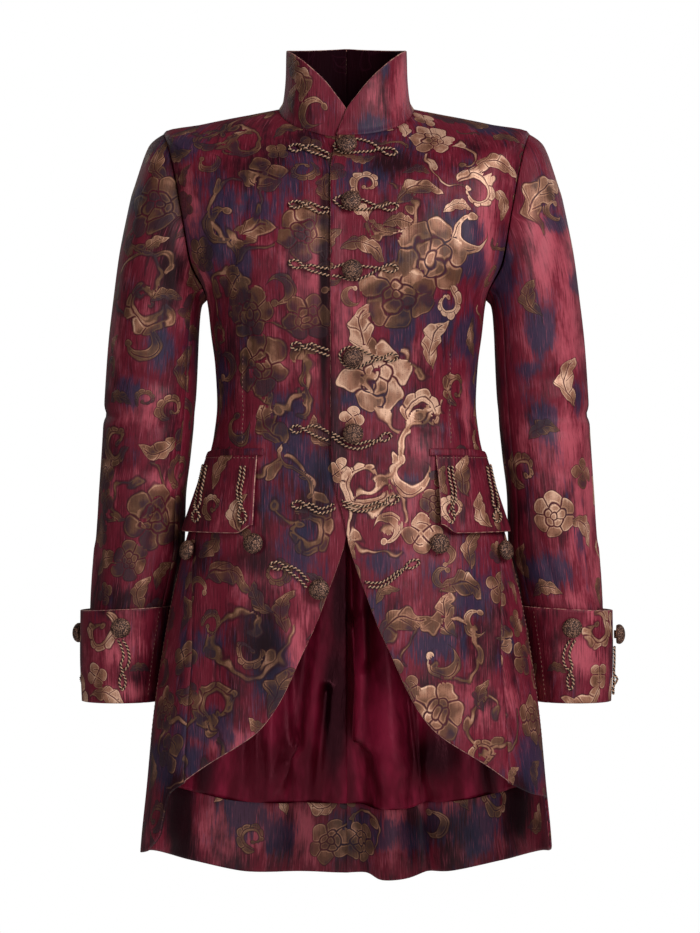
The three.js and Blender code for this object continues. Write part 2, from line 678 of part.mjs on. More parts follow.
function collarSkin(turn, up) {
  const base = skin(turn, NECK);
  const foot = base.z + SEAM + 0.1;
  const top = Math.max(collarTop(turn), foot + 2);
  const high = clamp((foot + up * (top - foot) - base.z) / 66, 0, 1);
  const point = oval(turn, collarRings.half(high), collarRings.fore(high),
    collarRings.aft(high), RINGS[NECK].square);
  point.z = mix(foot, top, up);
  return point;
}

function collar(side, sinks) {
  const layer = (lift) => (u, v) => {
    const turn = mix(COLLAR_START, 180 - 0.3, u ** 1.15);
    const under = sinks ? -COLLAR_UNDERLAP * smooth(38, 18, turn) : 0;
    const up = facing(collarSkin, turn, clamp(v, 0.05, 0.95), 0.5, 0.03);
    return mirror(side, collarSkin(turn, v).addScaledVector(up, lift + under));
  };
  return wall(...GRID.collar, layer(0), layer(-CLOTH));
}

// ---------- Sleeves and cuffs ----------
const sleeveNames = ["topX", "topZ", "lowX", "lowZ", "deep", "mid"];
const sleeve = curves(counted(SLEEVE), "ring", sleeveNames);

function armOval(turn, from, ring) {
  const c = Math.cos(turn * DEGREE);
  const s = Math.sin(turn * DEGREE);
  const t = (1 + c) / 2;
  return new THREE.Vector3(
    mix(from.lowX(ring), from.topX(ring), t),
    from.mid(ring) - from.deep(ring) * s,
    mix(from.lowZ(ring), from.topZ(ring), t),
  );
}

// The armhole of the body at the same turn, 0 at the shoulder and 180 at the armpit.
function armholePoint(turn) {
  const s = Math.sin(turn * DEGREE);
  const ring = ARMHOLE.middle + ARMHOLE.reach * Math.cos(turn * DEGREE);
  return skin(90 - ARMHOLE.spread * s, clamp(ring, ARMPIT, SHOULDER));
}

function sleeveSkin(turn, ring) {
  const point = armOval(turn, sleeve, ring);
  if (ring < SLEEVE_HEAD) {
    const share = (1 - smooth(0, SLEEVE_HEAD, ring)) ** 1.5;
    const off = armholePoint(turn).sub(armOval(turn, sleeve, 0));
    point.addScaledVector(off, share);
  }
  point.x += ARMHOLE_SEAM * (1 - smooth(0, 2, ring));
  return point;
}

function sleevePanel(side, start, end) {
  const rows = SLEEVE.length - 1;
  const columns = Math.round((end - start) / SEAM_STEP);
  const layer = (lift) => (u, v) => {
    const ring = v * rows;
    const shift = SEAM / 2 / (55 * DEGREE);
    const turn = mix(start + shift, end - shift, u);
    const at = clamp(ring, 0.03, rows - 0.03);
    const out = facing(sleeveSkin, turn, at, 0.5, 0.03);
    return mirror(side, sleeveSkin(turn, ring).addScaledVector(out, lift));
  };
  return wall(columns, rows, layer(0), layer(-CLOTH));
}

const cuffNames = ["topX", "lowX", "deep", "mid"];
const cuffRings = curves(counted(CUFF_RINGS), "ring", cuffNames);

// A cuff's outside, with down 0 at its top edge and 1 at its foot.
function cuffSkin(turn, down) {
  const ring = down * (CUFF_RINGS.length - 1);
  const c = Math.cos(turn * DEGREE);
  const t = (1 + c) / 2;
  return new THREE.Vector3(
    mix(cuffRings.lowX(ring), cuffRings.topX(ring), t),
    cuffRings.mid(ring) - cuffRings.deep(ring) * Math.sin(turn * DEGREE),
    mix(CUFF.top - (CUFF.rise / 2) * c, CUFF.bottom, down),
  );
}

function cuffLifted(turn, down, lift) {
  const out = facing(cuffSkin, turn, clamp(down, 0.03, 0.97), 0.5, 0.02);
  return { at: cuffSkin(turn, down).addScaledVector(out, lift), up: out };
}

function cuffPanel(side) {
  const layer = (lift) => (u, v) => mirror(side, cuffLifted(u * 360, v, lift).at);
  return wall(...GRID.cuff, layer(0), layer(-CLOTH), true);
}

// ---------- Pocket flaps and welts ----------
const turnAcross = (x, ring) => solve((t) => skin(t, ring).x - x, 10, 85);

// How far the flap stands off the body: close at its top and freer below.
const flapLift = (z) => FLAP.lift + FLAP.flare * smooth(FLAP.top, FLAP.bottom, z) ** 0.8;

function flapLayer(side, lift) {
  return (u, v) => {
    const foot = FLAP.bottom + FLAP.corner * (1 - smooth(0, 0.15, u));
    const ring = ringOf(mix(FLAP.top - WELT.sag * u ** 3, foot, v));
    const turn = mix(turnAcross(FLAP.start, ring) + v, FLAP.wrap, u);
    return mirror(side, lifted(turn, ring, flapLift(body.side(ring)) + lift));
  };
}

const flapPanel = (side) =>
  wall(...GRID.flap, flapLayer(side, CLOTH), flapLayer(side, 0));

function weltPanel(side) {
  const layer = (lift) => (u, v) => {
    const foot = FLAP.top - WELT.sag * u ** 3 + WELT.gap;
    const ring = ringOf(foot + WELT.height * (1 - v));
    const start = turnAcross(WELT.start, ring);
    return mirror(side, lifted(mix(start, FLAP.wrap, u), ring, lift));
  };
  return wall(GRID.flap[0], 1, layer(WELT.lift + CLOTH), layer(WELT.lift));
}

// ---------- Frogs ----------
// Points on the fronts, found by x and z, with the way up from the cloth.
function onBody(side, base) {
  return (x, z, lift) => {
    const { turn, ring } = frontSpot(x * side, z);
    const up = facing(skin, turn, ring, 1.2, 0.03);
    const at = skin(turn, ring).addScaledVector(up, base(turn, ring) + lift);
    up.x *= side;
    return { at: mirror(side, at), up };
  };
}

// A frog of one cord. over lifts its second pass where it crosses itself.
function frog({ go, cross, tip, back, button }, place) {
  const [x, z] = [tip[0] - cross[0], tip[1] - cross[1]];
  const long = Math.hypot(x, z);
  const last = go.at(-1);
  const turn = Math.sign(x * (last[1] - cross[1]) - z * (last[0] - cross[0]));
  const eye = (along, aside) => [
    cross[0] + (x * along) - (z / long) * aside * turn,
    cross[1] + (z * along) + (x / long) * aside * turn,
  ];
  const marks = [
    ...go, cross, eye(0.5, -CORD.eye), eye(0.9, -CORD.eye * 0.6), tip,
    eye(0.9, CORD.eye * 0.6), eye(0.5, CORD.eye), [...cross, CORD.over], ...back,
  ].map(([a, b, over = 0]) => new THREE.Vector3(a, b, over));
  const loop = Boolean(button);
  const line = new THREE.CatmullRomCurve3(marks, loop, "centripetal");
  const count = loop ? marks.length * 2 : marks.length * 2 - 1;
  const path = Array.from({ length: count }, (_, i) => {
    const at = line.getPoint(i / (loop ? count : count - 1));
    return place(at.x, at.y, CORD.seat + CORD.radius + at.z);
  });
  return cord(path, loop);
}

// ---------- Materials ----------
const paint = (color, roughness, metalness = 0) =>
  new THREE.MeshStandardMaterial({ color, roughness, metalness });
const BROCADE = paint("#6b2a3a", 0.5);
const SATIN = paint("#5a1426", 0.35);
const BRONZE = paint("#6a5334", 0.45, 0.9);
const CORDING = paint("#4d3d28", 0.55, 0.3);

// ---------- The jacket ----------
const jacket = new THREE.Group();
function add(name, geometry, material) {
  const mesh = new THREE.Mesh(geometry, material);
  mesh.name = name;
  jacket.add(mesh);
}

// Pieces on the wearer's right pass under the left front.
const underlap = (turn, ring) => -FRONT_UNDERLAP * smooth(46, 24, skin(turn, ring).x);
const places = {
  left: onBody(1, () => 0),
  right: onBody(-1, underlap),
};
const flapPlace = (side) => onBody(side, (turn, ring) => flapLift(body.side(ring)) + CLOTH);

function addButton(name, { at, up }) {
  add(name, buttonAt(at, up), BRONZE);
}

function addCuffTrims(side) {
  const which = hand(side);
  for (const { name, turn, z, ...marks } of CUFF_TRIMS) {
    const place = (aside, down, lift) => {
      const share = (CUFF.top - z + down) / (CUFF.top - CUFF.bottom);
      const spot = cuffLifted(turn[which] + aside / (55 * DEGREE), share, lift);
      spot.up.x *= side;
      return { at: mirror(side, spot.at), up: spot.up };
    };
    addButton(`cuff_button_${name}_${which}`, place(0, 0, BUTTON.seat));
    add(`cuff_cord_${name}_${which}`, frog(marks, place), CORDING);
  }
}

for (const side of [1, -1]) {
  const which = hand(side);
  const { front, back } = SLEEVE_SEAMS;
  add(`front_${which}`, frontPanel(side, side > 0 ? () => 0 : underlap), BROCADE);
  add(`side_back_${which}`, sidePanel(side), BROCADE);
  add(`back_${which}`, backPanel(side), BROCADE);
  add(`hem_facing_${which}`, facingPanel(side), BROCADE);
  add(`tail_lining_${which}`, liningPanel(side), SATIN);
  add(`collar_${which}`, collar(side, side < 0), BROCADE);
  add(`sleeve_upper_${which}`, sleevePanel(side, back - 360, front), BROCADE);
  add(`sleeve_under_${which}`, sleevePanel(side, front, back), BROCADE);
  add(`cuff_${which}`, cuffPanel(side), BROCADE);
  add(`pocket_flap_${which}`, flapPanel(side), BROCADE);
  add(`pocket_welt_${which}`, weltPanel(side), BROCADE);
  for (const { name, x, z } of HIP_BUTTONS)
    addButton(`hip_button_${name}_${which}`, places[which](x * side, z, BUTTON.seat));
  const turned = (marks) => marks.map(([x, z]) => [x * side, z]);
  for (const { name, go, cross, tip, back: home } of FLAP_CORDS) {
    const [newCross, newTip] = turned([cross, tip]);
    const marks = { go: turned(go), cross: newCross, tip: newTip, back: turned(home) };
    add(`flap_cord_${name}_${which}`, frog(marks, flapPlace(side)), CORDING);
  }
  addCuffTrims(side);
}
RIGHT_FROGS.forEach((spec, i) => add(`frog_right_${i + 1}`, frog(spec, places.right), CORDING));
LEFT_FROGS.forEach((spec, i) => add(`frog_left_${i + 1}`, frog(spec, places.left), CORDING));
const leftButtons = [...LEFT_FROGS.flatMap(({ button }) => (button ? [button] : [])), ...LEFT_BUTTONS]
  .sort((a, b) => b[1] - a[1]);
leftButtons.forEach(([x, z], i) =>
  addButton(`front_button_${i + 1}`, places.left(x, z, BUTTON.seat)));
addButton("front_button_6", places.right(...RIGHT_EDGE_BUTTON, BUTTON.seat + 0.8));

export default jacket;
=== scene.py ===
"""A fitted brocade tailcoat jacket with corded frogs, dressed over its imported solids.

The tables repeat the driving dimensions of the solids, in millimetres, so that every cut piece
lies where its solid lies. Meshes are written in metres.
"""
import math

import bmesh
import bpy
import numpy as np
from mathutils import Matrix, Vector


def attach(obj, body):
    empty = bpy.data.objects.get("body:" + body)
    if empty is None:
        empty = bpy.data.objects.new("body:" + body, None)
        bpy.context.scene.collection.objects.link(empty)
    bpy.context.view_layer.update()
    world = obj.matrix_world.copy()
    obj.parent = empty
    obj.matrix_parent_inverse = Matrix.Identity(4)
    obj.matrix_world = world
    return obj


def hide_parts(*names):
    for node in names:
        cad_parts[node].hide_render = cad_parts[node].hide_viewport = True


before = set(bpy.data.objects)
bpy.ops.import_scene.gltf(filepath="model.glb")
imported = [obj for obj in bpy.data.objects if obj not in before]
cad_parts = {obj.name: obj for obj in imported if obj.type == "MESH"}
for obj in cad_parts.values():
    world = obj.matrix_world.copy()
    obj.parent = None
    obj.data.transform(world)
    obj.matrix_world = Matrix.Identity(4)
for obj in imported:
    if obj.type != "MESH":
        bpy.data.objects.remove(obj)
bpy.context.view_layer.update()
MM = 0.001
HAND = {1: "left", -1: "right"}  # the wearer's; side is 1 or -1 all through

# ---------- Driving dimensions, as in the solids ----------
CLOTH = 2.0
LINING_CLOTH = 1.0
SEAM = 0.3
FRONT_UNDERLAP = 2.9
COLLAR_UNDERLAP = 3.9
LINING_LAYER = 0.4
FACING_SHARE = 0.15
CORD = {"radius": 1.6, "seat": 0.3, "eye": 3.8, "over": 3.5}
FLAP = {"top": -377.5, "bottom": -460, "start": 95, "wrap": 92, "lift": 1.3, "flare": 4, "corner": 9}
WELT = {"height": 7, "gap": 0.5, "start": 88.3, "lift": 1, "sag": 6}
CUFF = {"top": -544, "bottom": -646, "rise": 5}
BUTTON_SEAT = 0.3

# side, front, back, half, fore, aft, square, arch of each ring round the body, from the hem up
RINGS = np.array([
    [-880, -880, -880, 228.0, 128, 190, 2.3, 2],
    [-806, -806, -806, 224.5, 127, 182, 2.3, 2],
    [-735, -735, -735, 217.5, 125, 172, 2.3, 2],
    [-665, -665, -665, 211.0, 122, 160, 2.3, 2],
    [-600, -600, -600, 202.0, 119, 148, 2.3, 2],
    [-540, -540, -540, 191.5, 116, 137, 2.3, 2],
    [-480, -480, -480, 178.0, 113, 127, 2.3, 2],
    [-430, -430, -430, 163.5, 109, 117, 2.3, 2],
    [-390, -390, -390, 153.0, 105, 107, 2.3, 2],
    [-355, -355, -355, 144.5, 101, 97, 2.25, 2],
    [-320, -320, -320, 141.0, 99, 92, 2.2, 2],
    [-280, -280, -280, 143.0, 104, 96, 2.2, 2],
    [-245, -245, -245, 147.5, 113, 103, 2.25, 2],
    [-208, -208, -208, 152.0, 121, 109, 2.4, 2],
    [-165, -176, -172, 176, 123, 112, 2.6, 2],
    [-105, -135, -125, 190, 114, 112, 2.6, 2],
    [-26, -88, -72, 199, 96, 96, 2.5, 2],
    [-15.5, -64, -38, 157, 82, 84, 2.4, 1.6],
    [-6.5, -46, -13, 115, 71, 73, 2.3, 1.3],
    [1, -32, 7, 73.5, 60, 61, 2.2, 1.1],
])
WAIST, ARMPIT, SHOULDER, NECK = 10, 13, 16, 19
BUST = {"x": 78, "z": -196, "wide": 52, "tall": 62, "out": 8}
# turn, width, how far out at the hem, and the height where it starts
FLUTES = [
    (-146, 11, -13, -540), (-167, 9, 9, -520), (-131, 8, 7, -600), (163, 6.5, -22, -450),
    (154, 5.5, 12, -560), (143, 8, -11, -540), (130, 8, 7, -600), (176, 6, 9, -480),
    (-40, 9, 4, -520), (38, 10, 4.5, -500),
]
FRONT_EDGE = [
    (-30, -9), (-48, -13.3), (-70, -16.8), (-178, -17), (-387, -16.5), (-417, -10.5), (-443, -3),
    (-472, 2.5), (-497, 10.5), (-521, 19.5), (-551, 30.5), (-590, 48), (-639, 71), (-665, 90),
    (-688, 119), (-709, 154), (-727, 177),
]
CUTAWAY_TOP = -387
BACK_HEM = [(105, -812), (128, -831), (145, -846), (164, -849), (180, -851)]
HEM = {
    1: [(64.8, -727), (74, -740), (88, -750), (91.5, -803), (97, -809)] + BACK_HEM,
    -1: [(64.8, -727), (70.2, -741), (72.6, -785), (80, -804), (92, -809)] + BACK_HEM,
}
HEM_TURNS = {
    1: [64.8, 74, 88, 91.5, 97, 106, 118, 130, 143, 155],
    -1: [64.8, 70.2, 72.6, 80, 92, 106, 118, 130, 143, 155],
}
SIDE_SEAM = [(-727, 64.8), (-600, 65.6), (-540, 68.5), (-482, 73.2), (-400, 79), (-320, 82), (-212, 84)]
BACK_SEAM = [
    (0, 155), (3, 154.5), (6, 153.5), (8, 152.5), (10, 150), (11, 147), (12, 142), (13, 134),
    (13.7, 122), (14.343, 107.9),
]
ARMHOLE = {"middle": 14.5, "reach": 1.5, "spread": 18}
COLLAR_TOP = [
    (-9.5, -27), (-4.5, -15.6), (1, -2.7), (11.4, 11), (24, 26.4), (35, 37.4), (52, 51), (70, 60),
    (90, 64), (135, 69), (180, 72.5),
]
COLLAR_START = -9.5
COLLAR_RINGS = [(0, 73.5, 60, 61), (0.12, 69.2, 57, 59.5), (0.45, 67.3, 56.5, 60), (1, 65.5, 56, 62)]
# topX, topZ, lowX, lowZ, deep, mid of each ring down a sleeve
SLEEVE = [
    (199, -26, 152, -208, 58, 0), (213.5, -37.5, 157, -213, 61, 0), (227, -71, 159, -222, 63, 1),
    (238, -112, 160, -233, 63.5, 2), (247.5, -156, 161, -248, 63, 4), (254, -203, 162, -271, 61.5, 6),
    (260, -254, 163.5, -302, 60, 8), (264, -308, 166.3, -338, 58.5, 11), (267.3, -364, 170.5, -378, 57, 15),
    (271.5, -420, 175.8, -422, 55.5, 22), (275.5, -473, 177.5, -473, 54, 31), (280, -520, 187, -520, 53, 38),
    (283.5, -562, 196.1, -562, 52, 42), (286, -603, 202.8, -603, 52, 44), (287.5, -645, 208.4, -645, 52, 46),
]
SLEEVE_HEAD = 4
SLEEVE_TURN_MM = 0.98  # round the sleeve, for one degree
ARM_RADIUS = 55  # of a sleeve or cuff, roughly
SLEEVE_SEAMS = (144, 240)
CUFF_RINGS = [(292.5, 189, 60, 41), (293.3, 198.3, 58.5, 44), (291.6, 205.7, 56, 46)]

# Frogs: the way out, the crossing, the eye's far end and the way back, as x and z on the fronts
RIGHT_FROGS = [
    ([(-18.5, -53), (-28, -48.5), (-38, -44.5)], (-46, -48.5), (-61.5, -48),
     [(-39, -52), (-28, -54.5), (-18.5, -58.5)]),
    ([(-18.5, -113.5), (-28, -112.5), (-37.5, -109)], (-45, -111.5), (-61, -110.5),
     [(-37.5, -115.5), (-28, -119), (-18.5, -117.5)]),
    ([(-18.5, -179), (-28, -178), (-37.5, -175.5)], (-45.5, -177.5), (-60.5, -172.5),
     [(-37.5, -181.5), (-28, -184), (-18.5, -186.5)]),
    ([(-18.5, -265), (-29, -261.5), (-37.5, -258)], (-44.5, -261), (-58.5, -260),
     [(-37.5, -263.5), (-29, -267), (-18.5, -271)]),
    ([(-18.5, -352.5), (-28, -347), (-37.5, -345)], (-45, -349), (-59, -349),
     [(-39, -352.5), (-30.5, -357), (-19.5, -360.5)]),
    ([(-13.5, -428), (-20.5, -431.5), (-29, -433), (-37, -428.5)], (-43.5, -429), (-57.5, -429.5),
     [(-37.5, -434), (-29, -438), (-19.5, -436.5), (-11.5, -432.5)]),
    ([(-40, -511), (-43.5, -506.5), (-49.5, -500), (-58, -495)], (-64.5, -495.5), (-80.5, -493),
     [(-61, -500), (-53.5, -505.5), (-47, -511.5), (-42.5, -517)]),
]
# A frog with True is a closed loop round its button's stem.
LEFT_FROGS = [
    ([(-13.5, -46), (-7, -39), (6, -38), (19.5, -40), (29.5, -44.5)], (37, -51), (53.5, -53.5),
     [(27, -52), (16.5, -52.5), (3.5, -53.5), (-8, -52.5)], True),
    ([(-13.5, -106.5), (-7, -102), (3.5, -101), (16.5, -105.5), (27, -110)], (36.5, -114.5), (54.5, -112.5),
     [(25, -115.5), (12, -116), (0.5, -115.5), (-8, -112)], True),
    ([(-15.5, -179), (-5, -175), (7, -173), (18.5, -177), (28, -178)], (36, -179), (54, -179),
     [(29, -183), (21.5, -187), (12, -190.5), (1.5, -190.5), (-7, -187.5), (-15.5, -186.5)]),
    ([(-7, -268.5), (-0.5, -262), (9, -261.5), (18.5, -265.5), (28, -270.5)], (37, -272.5), (54.5, -272),
     [(24, -277), (13.5, -282.5), (2.5, -283), (-5, -277)], True),
    ([(-15.5, -353), (-6, -358), (3.5, -363), (13.5, -364.5), (23, -362)], (33.5, -361), (47, -354.5),
     [(23, -367), (12, -370), (1.5, -368), (-8, -362.5), (-15.5, -357)]),
    ([(-5, -425), (5, -429), (14.5, -431.5), (24, -430), (32.5, -426.5)], (39, -428.5), (55.5, -421.5),
     [(32.5, -431.5), (24, -435), (14.5, -436.5), (5, -434.5), (-4, -429.5)]),
    ([(19.5, -511), (28, -512), (36.5, -511.5), (45, -507), (53.5, -500.5)], (61, -496.5), (76.5, -489),
     [(58, -501), (50.5, -507), (43, -513), (33.5, -516.5), (23, -516)]),
]
FRONT_BUTTONS = [(0.5, -47), (5, -108.5), (6.5, -180.5), (7, -271.5), (7, -354)]
RIGHT_EDGE_BUTTON = (-29, -519)
HIP_BUTTONS = [("front", 97, -471), ("side", 166, -480)]
FLAP_CORDS = [
    ("front", [(106, -389), (107, -403), (109.2, -416), (108.5, -427)], (108, -433), (107, -450),
     [(112, -425), (113, -415), (111, -402), (110, -389)]),
    ("side", [(146.5, -389), (148.5, -405), (150.5, -419), (151, -430)], (153.5, -435.5), (156, -450),
     [(156, -428), (155, -417), (153, -403.5), (150.8, -388)]),
]
# On a cuff the marks are aside from the button towards the body, and down from it.
CUFF_TRIMS = [
    ("front", {1: 88, -1: 88}, -563, [(3, 13.5), (10, 23), (13.5, 35), (11.5, 43.5)], (6, 48.5), (7.5, 68),
     [(3.5, 41.5), (6, 31.5), (2.5, 21.5), (-2.5, 13.5)]),
    ("outer", {1: 8, -1: -22}, -571, [(2.2, 13.5), (2.2, 32), (2.6, 45)], (0, 50.5), (0, 67),
     [(-2.6, 45), (-2.2, 32), (-2.2, 13.5)]),
]

# The woven motifs that show from the front: which pieces, x, z, kind, radius, turn, and how bright
# their gold is, partly its own tone and partly painted light: brighter on the wearer's left, where the key lamp
# catches the metal thread, and duller on the right. The rest of the cloth is filled from the same repertoire.
MOTIFS = [
    ("F", -143, -33, 3, 34, 200, 0.22), ("F", -122, -17, 5, 46, 10, 0.3),
    ("F", -111, -41, 2, 30, 20, 0.35), ("F", -147, -63, 2, 17, 90, 0.3), ("F", -62, -25, 1, 22, 20, 0.45),
    ("F", -89, -76, 4, 28, 30, 0.32), ("F", -175, -76, 1, 15, 70, 0.3), ("F", -136, -131, 2, 27, 0, 0.3),
    ("F", -103, -148, 1, 32, 40, 0.33), ("F", -44, -113, 1, 15, -10, 0.35),
    ("F", -44, -140, 0, 30, 20, 0.22), ("F", -120, -196, 4, 22, 10, 0.32),
    ("F", -103, -225, 0, 28, 0, 0.28), ("F", -92, -281, 0, 34, 40, 0.3), ("F", -42, -231, 0, 27, 70, 0.2),
    ("F", -136, -249, 3, 22, 90, 0.24), ("F", -78, -338, 1, 31, 110, 0.34),
    ("F", -45, -300, 5, 38, 60, 0.28), ("F", -55, -392, 5, 32, 100, 0.3),
    ("F", -42, -458, 3, 34, -60, 0.32), ("F", -127, -507, 1, 28, -15, 0.48),
    ("F", -64, -541, 1, 24, 80, 0.36), ("F", -92, -530, 1, 20, 120, 0.33),
    ("F", -144, -558, 3, 16, 10, 0.52), ("F", -136, -643, 3, 36, 100, 0.36),
    ("F", -70, -626, 1, 30, 50, 0.42), ("F", -125, -706, 1, 15, 20, 0.6),
    ("F", -177, -594, 4, 19, 30, 0.5), ("F", -195, -650, 0, 25, 10, 0.6),
    ("F", -190, -695, 4, 24, 70, 0.38), ("F", -203, -578, 4, 14, 0, 0.45),
    ("F", -212, -719, 1, 22, 80, 0.35), ("F", -205, -765, 3, 22, 100, 0.3),
    ("F", -105, -586, 3, 20, 200, 0.25), ("F", -18, -153, 1, 20, 60, 0.25),
    ("F", -171, -545, 1, 20, 80, 0.3), ("F", -143, -316, 3, 26, -80, 0.22),
    ("F", -116, -349, 2, 20, 60, 0.22), ("N", -38, -7, 2, 20, -30, 0.42),
    ("N", -51, 28, 1, 24, -60, 0.42), ("N", -59, 48, 4, 14, 0, 0.35), ("N", -59, 11, 1, 16, 80, 0.33),
    ("F", 3, -13, 4, 14, 20, 0.95), ("F", 28, -17, 1, 23, 10, 0.9), ("F", 60, -24, 1, 17, -60, 0.9),
    ("F", 84, -11, 4, 16, 40, 0.95), ("F", 93, -37, 0, 27, 0, 0.82), ("F", 161, -68, 1, 34, 10, 0.88),
    ("F", 139, -94, 3, 33, -20, 0.92), ("F", 167, -107, 1, 20, -70, 0.6), ("F", 76, -95, 1, 28, 18, 0.5),
    ("F", 118, -112, 1, 15, 10, 0.9), ("F", 21, -87, 3, 22, 60, 0.85), ("F", 10, -116, 1, 18, -20, 0.8),
    ("F", 58, -131, 1, 19, -10, 0.42), ("F", 132, -142, 2, 27, 30, 0.8), ("F", 91, -166, 0, 42, 15, 0.5),
    ("F", 108, -214, 3, 23, -90, 0.95), ("F", 54, -207, 0, 38, 40, 0.34),
    ("F", 17, -157, 1, 24, -15, 0.5), ("F", 4, -210, 2, 13, 0, 0.82), ("F", 21, -246, 1, 30, 100, 0.88),
    ("F", 93, -257, 1, 28, 70, 0.9), ("F", 32, -292, 0, 38, 10, 0.96), ("F", 84, -331, 3, 30, 30, 0.8),
    ("F", 60, -366, 5, 48, 32, 0.86), ("F", 21, -405, 3, 40, 180, 0.9), ("F", 67, -399, 2, 27, 60, 0.86),
    ("F", 6, -338, 4, 14, 0, 0.9), ("F", 43, -453, 2, 19, 200, 0.8), ("F", 80, -460, 4, 23, 20, 0.74),
    ("F", 124, -517, 1, 27, -5, 0.68), ("F", 108, -547, 1, 27, 95, 0.82), ("F", 137, -558, 2, 18, 0, 0.8),
    ("F", 60, -560, 1, 34, 25, 0.6), ("F", 102, -597, 2, 23, 90, 0.85), ("F", 95, -650, 0, 33, 60, 0.8),
    ("F", 67, -626, 4, 16, 0, 0.6), ("F", 146, -698, 3, 26, 90, 0.82), ("F", 179, -717, 1, 11, 60, 0.85),
    ("F", 183, -558, 4, 15, 0, 0.5), ("F", 189, -595, 4, 20, 45, 0.62), ("F", 200, -661, 0, 26, 30, 0.86),
    ("F", 204, -719, 1, 18, 60, 0.3), ("F", 118, -305, 3, 24, 90, 0.36),
    ("F", 135, -251, 1, 20, 100, 0.34), ("F", 6, -474, 1, 13, 90, 0.7), ("F", 42, -523, 1, 14, 30, 0.4),
    ("F", 102, -507, 2, 14, 0, 0.3), ("F", -7, -392, 4, 14, 0, 0.85), ("F", 143, -632, 1, 18, 80, 0.26),
    ("F", 62, -300, 6, 62, 200, 0.7), ("F", 38, -440, 6, 50, 120, 0.75), ("F", 110, -590, 6, 56, 20, 0.5),
    ("F", 44, -120, 6, 40, 270, 0.42), ("F", 150, -660, 6, 44, 200, 0.42),
    ("F", -110, -110, 6, 60, 160, 0.34), ("F", -80, -290, 6, 60, 300, 0.3),
    ("F", -120, -210, 6, 46, 60, 0.3), ("F", -62, -420, 6, 52, 20, 0.34),
    ("F", -110, -570, 6, 58, 220, 0.42), ("F", -150, -690, 6, 50, 90, 0.4),
    ("F", -120, -40, 6, 44, 10, 0.32), ("F", 120, -60, 6, 46, 100, 0.6),
    ("S", -225, -190, 6, 46, 100, 0.34), ("S", -232, -420, 6, 44, 250, 0.34),
    ("S", 246, -150, 6, 36, 60, 0.42), ("H", 20, -800, 6, 30, 60, 0.4), ("F", 37, -136, 1, 16, 160, 0.3),
    ("F", 75, -71, 1, 14, 0, 0.16), ("F", 173, -33, 1, 16, 0, 0.16), ("S", -203, -60, 1, 24, 110, 0.3),
    ("S", -204, -107, 0, 33, 0, 0.33), ("S", -214, -157, 5, 36, -55, 0.34),
    ("S", -207, -150, 1, 17, 45, 0.34), ("S", -234, -147, 1, 17, 110, 0.32),
    ("S", -217, -214, 3, 35, 180, 0.36), ("S", -219, -257, 2, 22, 120, 0.38),
    ("S", -195, -205, 1, 16, 10, 0.38), ("S", -252, -256, 1, 12, 70, 0.32),
    ("S", -251, -360, 3, 30, 160, 0.4), ("S", -202, -368, 1, 23, 190, 0.72),
    ("S", -208, -443, 0, 37, 20, 0.3), ("S", -262, -425, 4, 15, 0, 0.36),
    ("S", -245, -447, 5, 30, -30, 0.34), ("S", -262, -493, 1, 22, 20, 0.36),
    ("S", -236, -491, 0, 22, 40, 0.3), ("S", -223, -525, 1, 19, 80, 0.75),
    ("S", -201, -506, 1, 18, 60, 0.66), ("S", -176, -283, 1, 24, 90, 0.3),
    ("S", -181, -392, 3, 22, 90, 0.3), ("S", -247, -314, 1, 16, 0, 0.2), ("S", 213, -100, 1, 38, 45, 0.6),
    ("S", 233, -87, 1, 24, 110, 0.5), ("S", 222, -113, 2, 15, 0, 0.6), ("S", 257, -207, 1, 24, 130, 0.36),
    ("S", 241, -296, 1, 27, 80, 0.8), ("S", 257, -395, 4, 18, 0, 0.5), ("S", 224, -440, 0, 25, 30, 0.8),
    ("S", 257, -456, 1, 22, -40, 0.5), ("S", 276, -523, 1, 16, 60, 0.5),
    ("S", 191, -392, 3, 24, 90, 0.35), ("S", 193, -491, 1, 20, 90, 0.35),
    ("S", 211, -349, 1, 18, 20, 0.22), ("S", 216, -523, 1, 20, 0, 0.25),
    ("S", 200, -207, 1, 20, 90, 0.24), ("C", -271, -567, 3, 30, 250, 0.7),
    ("C", -273, -617, 4, 15, 30, 0.86), ("C", -260, -641, 1, 24, -20, 0.7),
    ("C", 272, -567, 3, 30, -70, 0.7), ("C", 276, -617, 4, 15, 60, 0.86),
    ("C", 259, -641, 1, 24, 200, 0.7), ("C", -225, -608, 1, 12, 0, 0.16),
    ("C", 228, -608, 1, 12, 0, 0.16), ("P", -136, -390, 1, 22, 60, 0.5),
    ("P", -144, -431, 3, 20, 90, 0.62), ("P", -116, -438, 1, 20, 80, 0.8),
    ("P", -155, -401, 1, 16, 100, 0.4), ("P", 126, -397, 1, 24, 80, 0.5),
    ("P", 113, -432, 3, 20, 80, 0.85), ("P", 146, -436, 1, 20, 110, 0.85),
    ("P", 102, -403, 1, 16, 90, 0.4), ("P", 163, -447, 1, 12, 90, 0.4), ("H", -68, -765, 1, 18, 70, 0.92),
    ("H", -27, -770, 1, 24, 190, 0.6), ("H", -18, -815, 0, 25, 20, 0.42),
    ("H", 167, -759, 3, 26, 200, 0.38), ("H", 213, -780, 1, 22, 130, 0.52),
    ("H", 102, -794, 2, 20, 0, 0.3), ("H", -136, -761, 1, 14, 0, 0.6), ("H", -105, -807, 3, 22, 90, 0.26),
    ("H", -2, -765, 4, 12, 0, 0.4), ("H", 132, -765, 1, 16, 20, 0.35),
]
